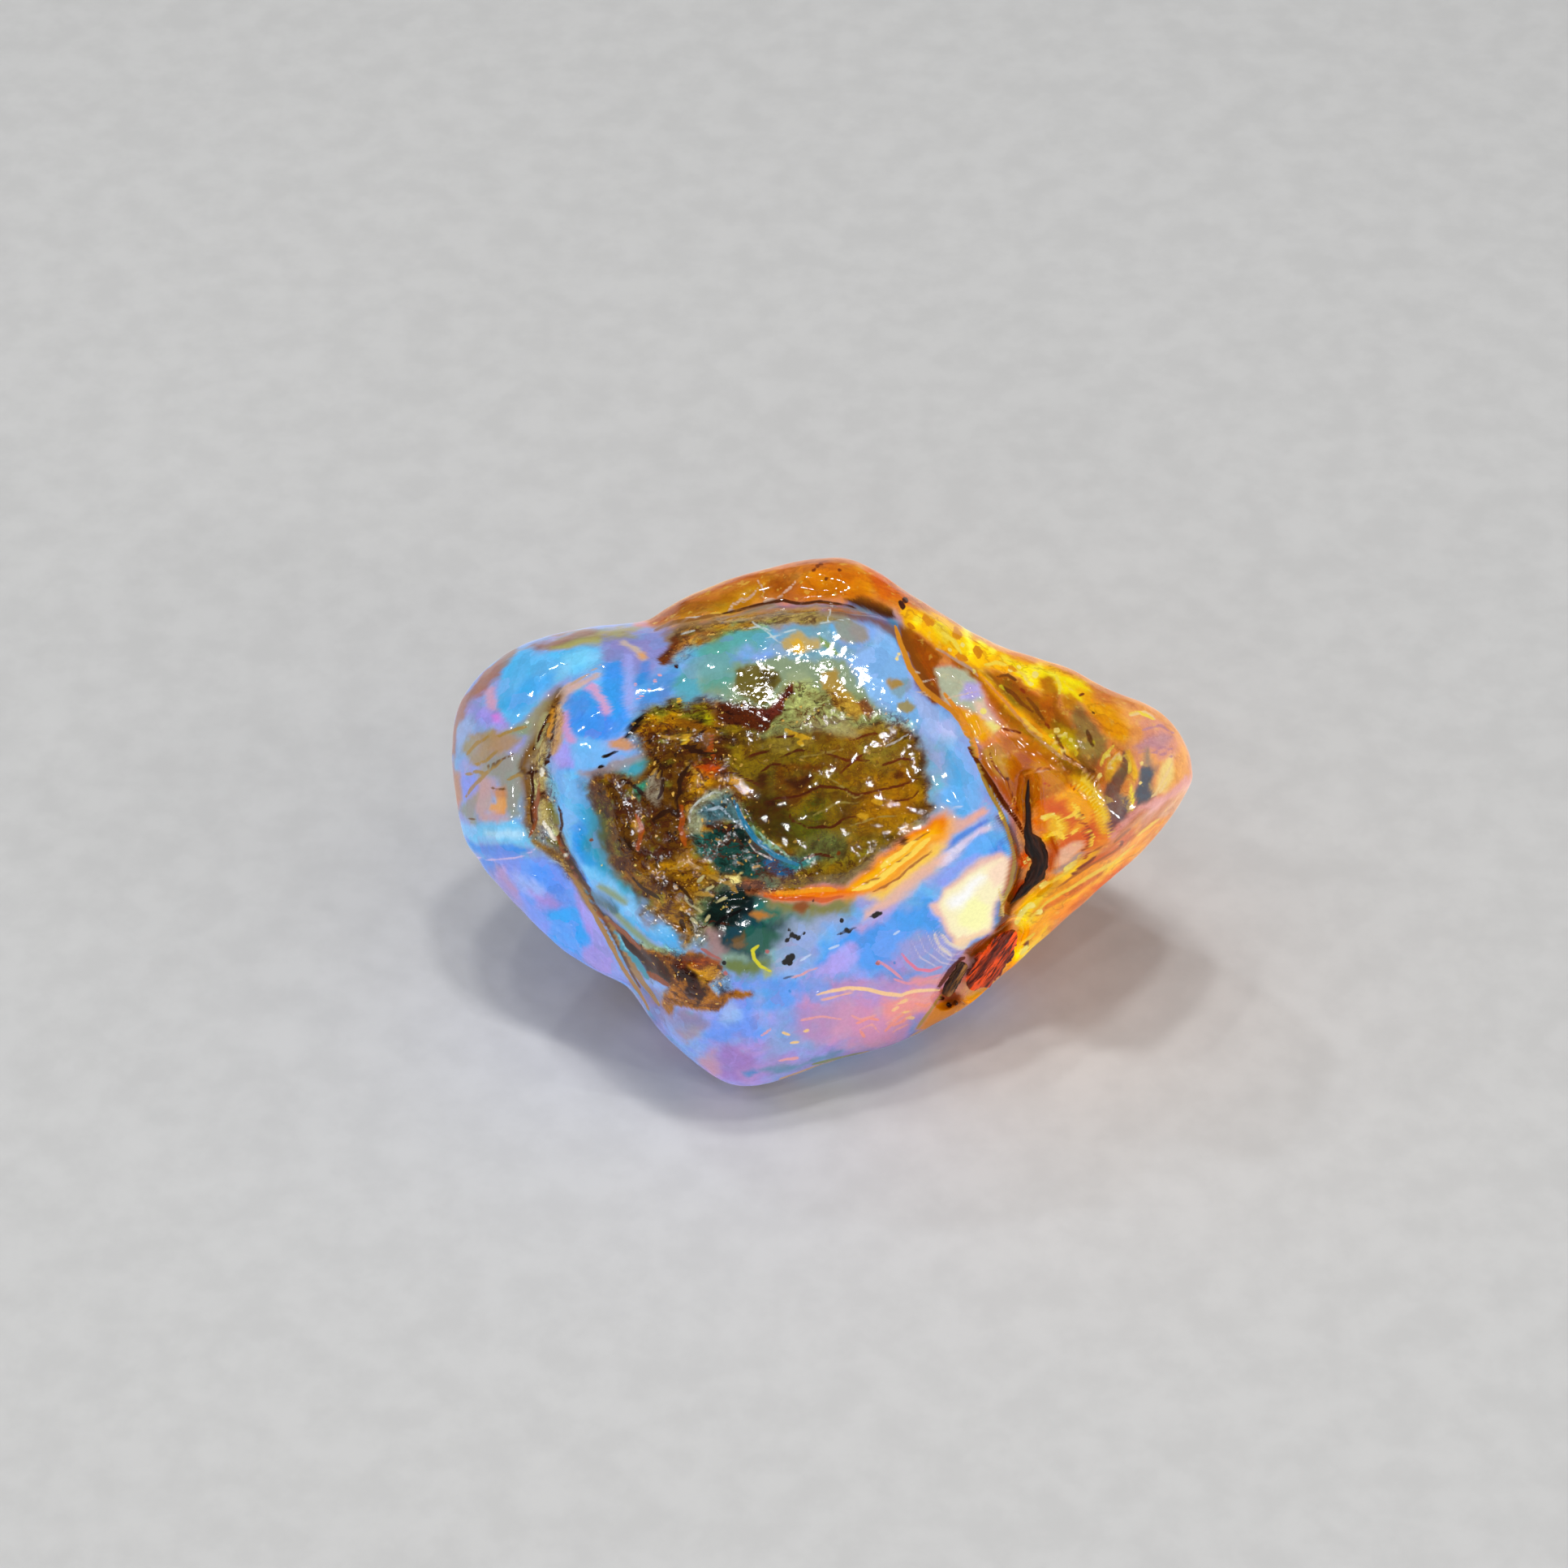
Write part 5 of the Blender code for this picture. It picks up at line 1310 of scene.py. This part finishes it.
class Finish:
    """The node tree of one material."""

    def __init__(self, name):
        self.material = bpy.data.materials.new(name)
        self.material.use_nodes = True
        self.tree = self.material.node_tree
        self.tree.nodes.clear()

    def node(self, kind, settings=(), inputs=(), output=0):
        """Adds a node: its settings first, then the values or links of its sockets."""
        made = self.tree.nodes.new("ShaderNode" + kind)
        for key, value in dict(settings).items():
            if key == "stops":
                elements = made.color_ramp.elements
                while len(elements) < len(value):
                    elements.new(1.0)
                for element, (place, colour) in zip(elements, value):
                    element.position, element.color = place, (*colour, 1.0)
            else:
                setattr(made, key, value)
        for key, value in dict(inputs).items():
            if isinstance(value, Wire):
                self.tree.links.new(value.socket, made.inputs[key])
            else:
                made.inputs[key].default_value = value
        return Wire(self, made.outputs[output])

    def mixed(self, share, first, second, blend="MIX"):
        """Two colours mixed by a share."""
        settings = {"data_type": "RGBA", "blend_type": blend}
        return self.node("Mix", settings, {0: share, 6: first, 7: second}, output=2)

    def scaled(self, colour, share):
        """A colour multiplied by a number."""
        return self.node("VectorMath", {"operation": "SCALE"}, {0: colour, "Scale": share})

    def shaded(self, colour, shades):
        """A colour multiplied by shades that are stored halved."""
        return self.mixed(1.0, self.mixed(1.0, colour, shades, "MULTIPLY"), TWICE, "MULTIPLY")

    def stepped(self, value, low, high):
        """0 below low, 1 above high, and eased between."""
        settings = {"interpolation_type": "SMOOTHSTEP"}
        return self.node("MapRange", settings, {0: value, 1: low, 2: high})

    def noise(self, place, scale, detail=3.0, roughness=0.55, distortion=0.0):
        return self.node("TexNoise", (), {
            "Vector": place, "Scale": scale, "Detail": detail, "Roughness": roughness,
            "Distortion": distortion,
        })

    def ramp(self, value, stops):
        return self.node("ValToRGB", {"stops": stops}, {0: value})

    def attribute(self, name):
        """A stored attribute's colour and its fourth number."""
        return [self.node("Attribute", {"attribute_name": name}, (), output) for output in ("Color", "Alpha")]

    def parts(self, colour):
        """A colour's red, green and blue."""
        return [self.node("SeparateColor", (), {0: colour}, output) for output in range(3)]

    def thin_line(self, value, half_width):
        """1 where noise crosses its middle value, and 0 beyond a half width from there."""
        return 1 - self.stepped(abs(value - 0.5), 0.3 * half_width, half_width)

    def done(self, surface, volume=None):
        """Links the material's output."""
        output = self.tree.nodes.new("ShaderNodeOutputMaterial")
        self.tree.links.new(surface.socket, output.inputs["Surface"])
        if volume:
            self.tree.links.new(volume.socket, output.inputs["Volume"])
        return self.material


# Noises of the skin: (scale, detail, roughness, distortion), and the scales of its cells
BEND = (700.0, 3.0)
BEND_REACH = (0.0020, 0.0020, 0.0020)
FLAKES = (900.0, 5.0, 0.7)
GRAIN = (3600.0, 4.0, 0.7)
FIBRES = (1050.0, 7.0, 0.78, 0.4)
VEINS = (300.0, 5.0, 0.62)
CRUMBS = (1500.0, 3.0, 0.6)
MOTES = (2300.0, 2.0, 0.5)
RUNS = (230.0, 4.0, 0.55, 0.8)
GLITTER = (1200.0, 3.0, 0.55)
MURK = (260.0, 3.0, 0.5)
RIPPLE = (380.0, 2.0, 0.5)
CRUMPLE = (1250.0, 3.0, 0.55)
FACET_SCALE, CHIP_SCALE, PIT_SCALE = 420.0, 1300.0, 1000.0

# Colours of what the amber holds
VIOLET_FACET = (0.50, 0.34, 0.90, 1)
BLUE_FACET = (0.06, 0.45, 0.90, 1)
VEIN_BROWN = (0.075, 0.012, 0.002, 1)
CRUMB_BLACK = (0.022, 0.006, 0.002, 1)
MOTE_GOLD = (0.90, 0.52, 0.10, 1)
GLITTER_GOLD = (1.0, 0.72, 0.10, 1)
MURK_BROWN = (0.22, 0.06, 0.004, 1)
WHITE = (1, 1, 1, 1)
TWICE = (2.0, 2.0, 2.0, 1)

AMBER_IOR = 1.54
AMBER_ABSORPTION = (0.98, 0.80, 0.22)
AMBER_DENSITY = 260.0

# Shades that the clouds are multiplied by, halved: earth from char to gold dust, honey from dark
# flow lines to bright painted glints, like caustics in the resin
EARTH_STOPS = (
    (0.28, (0.06, 0.02, 0.01)), (0.40, (0.22, 0.12, 0.06)), (0.48, (0.50, 0.42, 0.24)),
    (0.56, (0.66, 0.62, 0.38)), (0.66, (1.0, 0.92, 0.50)),
)
HONEY_RAMP = (
    (0.30, (0.26, 0.14, 0.06)), (0.42, (0.44, 0.36, 0.26)), (0.50, (0.54, 0.53, 0.45)),
    (0.60, (0.62, 0.72, 0.60)), (0.72, (0.80, 0.98, 0.80)),
)


def amber_finish():
    """Polished blue amber. Clear resin shows where the clearness is high, and milky resin with its
    painted clouds elsewhere. The clouds break into facets where the amber is blue, into grains,
    fibres and dark veins where it holds debris, and into dark flow lines and bright painted glints
    like caustics where it is honey-coloured. Threads are drawn over them, and ripples, pits and grit
    raise small glints. A share of the colour is painted glow, shone as emission in both resins."""
    look = Finish("blue_amber")
    place = look.node("TexCoord", (), (), "Object")
    paint, clear = look.attribute("paint")
    levels, flows = look.attribute("levels")
    glow, pitted, debris = look.parts(levels)
    thread, depth = look.attribute("thread")

    bent = look.node("VectorMath", {"operation": "MULTIPLY_ADD"}, {
        0: look.node("TexNoise", (), {"Vector": place, "Scale": BEND[0], "Detail": BEND[1]}, "Color"),
        1: BEND_REACH, 2: place,
    })
    level = look.node("Mapping", (), {"Vector": bent, "Scale": (0.5, 1.0, 1.0)})
    flakes = look.noise(place, *FLAKES)
    grain = look.noise(place, *GRAIN)

    red, _, azure = look.parts(paint)
    blue = look.stepped(azure - red, 0.0, 0.30) * (1 - debris - flows).clamped()
    tone, hue, pick = look.parts(look.node("TexVoronoi", (), {"Vector": bent, "Scale": FACET_SCALE}, "Color"))
    small, _, _ = look.parts(look.node("TexVoronoi", (), {"Vector": bent, "Scale": CHIP_SCALE}, "Color"))
    lit = 0.86 + 0.18 * tone + 0.12 * small
    tint = look.scaled(paint, 1 + blue * (lit - 1))
    tint = look.mixed(0.15 * blue * look.stepped(hue, 0.55, 0.75), tint, VIOLET_FACET)
    tint = look.mixed(0.18 * blue * look.stepped(pick, 0.62, 0.80), tint, BLUE_FACET)

    fibres = look.noise(level, *FIBRES)
    earth = look.shaded(tint, look.ramp(fibres, EARTH_STOPS))
    veins = look.thin_line(look.noise(level, *VEINS), 0.022)
    earth = look.mixed(0.75 * veins, earth, VEIN_BROWN)
    crumbs = look.stepped(look.noise(place, *CRUMBS), 0.61, 0.67)
    earth = look.mixed(0.75 * crumbs, earth, CRUMB_BLACK)
    motes = look.stepped(look.noise(place, *MOTES), 0.66, 0.72)
    earth = look.mixed(0.8 * motes, earth, MOTE_GOLD)
    tint = look.mixed(debris, tint, earth)

    # Dark flow lines and bright painted glints like caustics in the honey-coloured amber
    runs = look.noise(level, *RUNS)
    honey = look.shaded(tint, look.ramp(runs, HONEY_RAMP))
    glitter = look.stepped(look.noise(place, *GLITTER), 0.60, 0.68)
    honey = look.mixed(0.55 * glitter, honey, GLITTER_GOLD)
    murk = look.thin_line(look.noise(level, *MURK), 0.012)
    honey = look.mixed(0.40 * murk, honey, MURK_BROWN)
    tint = look.mixed(flows, tint, honey)

    inked = look.stepped(depth + 0.10 * (flakes - 0.5), -0.05, 0.05)
    tint = look.mixed(inked, tint, thread)
    tint = look.scaled(tint, 1 + (0.05 + 0.14 * debris) * (2 * look.stepped(grain, 0.30, 0.70) - 1))

    away = look.node("TexVoronoi", (), {"Vector": place, "Scale": PIT_SCALE}, "Distance")
    dome = (1 - away * away / 0.16).clamped()
    ripple = look.noise(place, *RIPPLE)
    crumple = look.noise(place, *CRUMPLE)
    height = 0.11 * ripple + 0.10 * dome * pitted
    height = height + (0.008 + 0.045 * pitted) * crumple + 0.02 * debris * flakes
    bump = look.node("Bump", (), {"Height": height, "Strength": 1.0, "Distance": 0.001})

    # Painted glow: a share of the colour shone as emission in both resins, and taken out of the base colour
    inner = look.scaled(tint, glow)
    milky = look.node("BsdfPrincipled", (), {
        "Base Color": look.scaled(tint, 1 - glow), "Roughness": 0.07, "IOR": AMBER_IOR,
        "Normal": bump, "Emission Color": inner, "Emission Strength": 1.0,
    })
    glassy = look.node("BsdfPrincipled", (), {
        "Base Color": look.mixed(0.85, WHITE, tint), "Roughness": 0.04, "IOR": AMBER_IOR,
        "Normal": bump, "Transmission Weight": 1.0,
        "Emission Color": inner, "Emission Strength": 0.45,
    })
    cloudy = (1 - clear * (1.9 - 1.8 * flakes)).clamped()
    surface = look.node("MixShader", (), {0: cloudy, 1: glassy, 2: milky})
    volume = look.node("VolumeAbsorption", (), {
        "Color": (*AMBER_ABSORPTION, 1.0), "Density": AMBER_DENSITY,
    })
    return look.done(surface, volume)


def bark_finish(name, dark, light, roughness, shine, ember):
    """Old bark: stripes of fibre along the strip, with knots, and a thin shine of resin. The ember is
    the strength of a painted glow, shone as emission; it is strongest on the resin-soaked bark."""
    look = Finish(name)
    place = look.node("TexCoord", (), (), "UV")
    run = look.node("Mapping", (), {"Vector": place, "Scale": (0.5, 3.5, 1.0)})
    fibre = look.noise(run, 1.0, 6.0, 0.7, 0.4)
    patches = look.noise(run, 0.35, 2.0)
    lit = look.stepped(fibre, 0.42, 0.60) * (0.25 + 0.75 * look.stepped(patches, 0.42, 0.58))
    colour = look.mixed(lit, (*dark, 1), (*light, 1))
    bump = look.node("Bump", (), {"Height": fibre, "Strength": 1.0, "Distance": 0.0003})
    # Painted glow: the bark's colour shone as emission, by the ember strength
    surface = look.node("BsdfPrincipled", (), {
        "Base Color": colour, "Roughness": roughness, "Normal": bump,
        "Coat Weight": shine, "Coat Roughness": 0.15,
        "Emission Color": colour, "Emission Strength": ember,
    })
    return look.done(surface)


def bark_piece(name, route, thickness, material, node, seed):
    """A flake of bark drawn along a smoothed route. At share t of its length and angle v round it,
    it stands half(t) cos v aside and sin v of half its thickness up; noise frays each side of the
    width, fibres are ridges of 0.06 mm that run along it, and both ends are drawn to a small ring
    and closed."""
    stations = np.array(route)
    runs = np.hypot(*np.diff(stations[:, :2], axis=0).T)
    before = np.concatenate([[0.0], np.cumsum(runs)]) / runs.sum()
    t = np.linspace(0, 1, STRIP_RINGS)
    path = np.stack([np.interp(t, before, stations[:, k]) for k in range(3)], 1)
    for _ in range(6):
        path[1:-1] = (path[:-2] + 2 * path[1:-1] + path[2:]) / 4
    ahead = np.gradient(path[:, :2], axis=0)
    ahead /= np.linalg.norm(ahead, axis=1)[:, None]
    sideways = np.stack([ahead[:, 1], -ahead[:, 0]], 1)
    turn = np.linspace(0, 2 * np.pi, STRIP_SIDES, endpoint=False)
    ends = np.sqrt(1 - ((2 * t - 1) ** 10).clip(0, 1)).clip(0.06, 1)
    along = t * runs.sum()
    frays = [cloud_noise(np.stack([along, along * 0, along * 0 + side], 1), 0.9, seed, 4, 0.7)
             for side in (0.3, 5.7)]
    fray = np.where(np.cos(turn)[None] > 0, frays[0][:, None], frays[1][:, None])
    half = (path[:, 2] * ends)[:, None] * (1 + 0.45 * fray.clip(-1, 0.35))
    across = np.cos(turn)[None] * half
    flat = path[:, None, :2] + sideways[:, None] * across[..., None]
    top = skin_height(path[:, 0], path[:, 1]) - BARK_INSET
    wave = np.sin(14 * across + 2.0 * np.sin(1.7 * along)[:, None])
    fibre = FIBRE_HEIGHT * wave * np.sin(turn)[None].clip(0, 1)
    rise = (np.sign(np.sin(turn)) * abs(np.sin(turn)) ** 0.6 * ends[:, None] - 1) * thickness / 2
    points = np.concatenate([flat, (top[:, None] + rise + fibre * ends[:, None])[..., None]], 2)
    middle = np.concatenate([path[:, :2], (top - thickness / 2)[:, None]], 1)
    points = np.vstack([points.reshape(-1, 3), middle[[0, -1]]])
    ring = np.arange(STRIP_SIDES)
    after = np.roll(ring, -1)
    start = STRIP_SIDES * np.arange(STRIP_RINGS - 1)[:, None]
    walls = np.stack([start + ring + STRIP_SIDES, start + after + STRIP_SIDES, start + after,
                      start + ring], -1).reshape(-1, 4)
    last = STRIP_SIDES * STRIP_RINGS
    far = ring + last - STRIP_SIDES
    caps = [(a, b, last) for a, b in zip(ring, after)]
    caps += [(b, a, last + 1) for a, b in zip(far, after + last - STRIP_SIDES)]
    piece = new_piece(name, to_world(points), walls.tolist() + caps, material, node)
    layer = piece.data.uv_layers.new(name="strip")
    corners = np.empty(len(piece.data.loops), int)
    piece.data.loops.foreach_get("vertex_index", corners)
    run = np.append(np.repeat(along, STRIP_SIDES), [0.0, runs.sum()])
    beside = np.append(across.ravel(), [0.0, 0.0])
    layer.data.foreach_set("uv", np.stack([run[corners], beside[corners]], 1).ravel())


def build_stone():
    """The skin: the ball's grid carried onto the stone, worn like the solid, with the fine relief
    added along its normals, and cut level where it rests on the floor."""
    ball, squares = ball_grid()
    shaped = worn(nodule_points(ball), squares, WEAR_PASSES)
    points = relieved(shaped, corner_normals(shaped, squares), ball[:, 2])
    world = to_world(points)
    world[:, 2] = world[:, 2].clip(0.0)
    stone = new_piece("amber_skin", world, squares.tolist(), amber_finish(), "amber_nodule")
    for name, values in zip(("paint", "levels", "thread"), painted_skin(points, ball[:, 2])):
        set_attribute(stone, name, values)


FLOOR_REACH = 3.0
PAPER_COLOURS = ((0.66, 0.657, 0.65, 1), (0.71, 0.707, 0.70, 1))
SKY_COLOUR = (1.0, 0.99, 0.97, 1.0)
SKY_STRENGTH = 0.10
STONE_MIDDLE = Vector((0.0, 0.0, 0.018))
DAY, COOL = (1.0, 1.0, 1.0), (0.86, 0.93, 1.0)

# Softboxes: (name, direction from the stone, distance, width and height, watts, colour)
LIGHTS = (
    ("pane_middle", (-0.10, 0.19, 0.97), 0.62, (0.060, 0.045), 0.60, DAY),
    ("pane_right", (0.10, 0.08, 0.99), 0.62, (0.050, 0.060), 0.60, DAY),
    ("pane_left", (-0.27, 0.22, 0.94), 0.62, (0.060, 0.022), 0.25, DAY),
    ("pane_far", (-0.40, 0.52, 0.76), 0.62, (0.030, 0.022), 0.30, COOL),
)

# Small lamps that spark on the ripples of the skin: (direction from the stone, watts)
LAMP_DISTANCE, LAMP_SIZE = 0.60, 0.014
LAMPS = (
    (0.05, -0.70, 0.71, 0.09), (-0.30, -0.62, 0.72, 0.09), (0.34, -0.55, 0.76, 0.09),
    (-0.15, -0.35, 0.92, 0.09), (0.22, -0.28, 0.93, 0.09), (-0.45, -0.20, 0.87, 0.09),
    (0.50, -0.10, 0.86, 0.09), (-0.55, -0.75, 0.36, 0.09), (0.10, -0.95, 0.30, 0.09),
    (0.60, -0.65, 0.46, 0.09), (0.75, 0.30, 0.59, 0.05), (-0.20, -0.88, 0.43, 0.09),
    (0.35, -0.85, 0.39, 0.09), (-0.88, -0.45, 0.30, 0.12), (-0.85, -0.20, 0.45, 0.10),
    (-0.75, -0.50, 0.45, 0.05), (-0.80, 0.12, 0.50, 0.12), (-0.65, -0.10, 0.75, 0.05),
    (-0.70, 0.30, 0.64, 0.05), (0.85, -0.50, 0.30, 0.20), (0.80, -0.20, 0.50, 0.20),
    (0.72, -0.52, 0.45, 0.15), (0.92, 0.05, 0.40, 0.15), (-0.35, -0.93, 0.10, 0.05),
    (0.0, -0.99, 0.12, 0.05), (0.30, -0.94, 0.14, 0.05), (-0.70, -0.70, 0.12, 0.05),
    (-0.55, -0.82, 0.12, 0.09),
)


def softbox(name, place, aim, size, power, colour):
    """A lamp with a rectangular pane that faces the aim."""
    data = bpy.data.lights.new(name, "AREA")
    data.shape = "RECTANGLE"
    data.size, data.size_y = size
    data.energy = power
    data.color = colour
    light = bpy.data.objects.new(name, data)
    light.location = place
    light.rotation_euler = (Vector(aim) - Vector(place)).to_track_quat("-Z", "Y").to_euler()
    bpy.context.collection.objects.link(light)


def build_studio():
    """A level square of pale paper as the floor, a pale sky, softboxes and small lamps."""
    floor_mesh = bpy.data.meshes.new("floor")
    corners = [(FLOOR_REACH * x, FLOOR_REACH * y, 0) for x, y in ((-1, -1), (1, -1), (1, 1), (-1, 1))]
    floor_mesh.from_pydata(corners, [], [(0, 1, 2, 3)])
    floor = bpy.data.objects.new("floor", floor_mesh)
    bpy.context.collection.objects.link(floor)
    look = Finish("floor_paper")
    place = look.node("TexCoord", (), (), "Object")
    fibre = look.noise(place, 260.0, 4.0)
    colour = look.mixed(look.stepped(fibre, 0.3, 0.7), *PAPER_COLOURS)
    paper = look.node("BsdfPrincipled", (), {"Base Color": colour, "Roughness": 0.85})
    floor_mesh.materials.append(look.done(paper))

    world = bpy.data.worlds.new("studio")
    world.use_nodes = True
    world.node_tree.nodes["Background"].inputs["Color"].default_value = SKY_COLOUR
    world.node_tree.nodes["Background"].inputs["Strength"].default_value = SKY_STRENGTH
    bpy.context.scene.world = world
    bpy.context.scene.view_settings.view_transform = "Standard"

    for name, toward, distance, size, power, colour in LIGHTS:
        toward = Vector(toward).normalized()
        softbox(name, STONE_MIDDLE + distance * toward, STONE_MIDDLE, size, power, colour)
    for number, (*toward, power) in enumerate(LAMPS):
        place = STONE_MIDDLE + LAMP_DISTANCE * Vector(toward).normalized()
        softbox(f"lamp_{number}", place, STONE_MIDDLE, (LAMP_SIZE, LAMP_SIZE), power, DAY)


CAMERA_LENS = 120.0
CAMERA_DISTANCE = 0.424
CAMERA_LOOK = (-3.10, 3.10, 0.0)


def build_camera():
    """A long lens square to the polished face, as in the photo."""
    data = bpy.data.cameras.new("camera")
    data.lens = CAMERA_LENS
    data.sensor_width = 36.0
    data.clip_start, data.clip_end = 0.01, 10.0
    camera = bpy.data.objects.new("camera", data)
    look = Vector(to_world([CAMERA_LOOK])[0])
    back = Vector((0.0, -np.cos(FACE_ELEVATION), np.sin(FACE_ELEVATION)))
    camera.location = look + CAMERA_DISTANCE * back
    camera.rotation_euler = (-back).to_track_quat("-Z", "Y").to_euler()
    bpy.context.collection.objects.link(camera)
    bpy.context.scene.camera = camera


build_camera()
build_studio()
build_stone()
for bark_name, bark_slot, solid, bark_route, bark_thickness, bark_seed, *fibres in BARKS:
    finish = bark_finish(bark_slot, *fibres)
    bark_piece(bark_name, bark_route, bark_thickness, finish, solid, bark_seed)
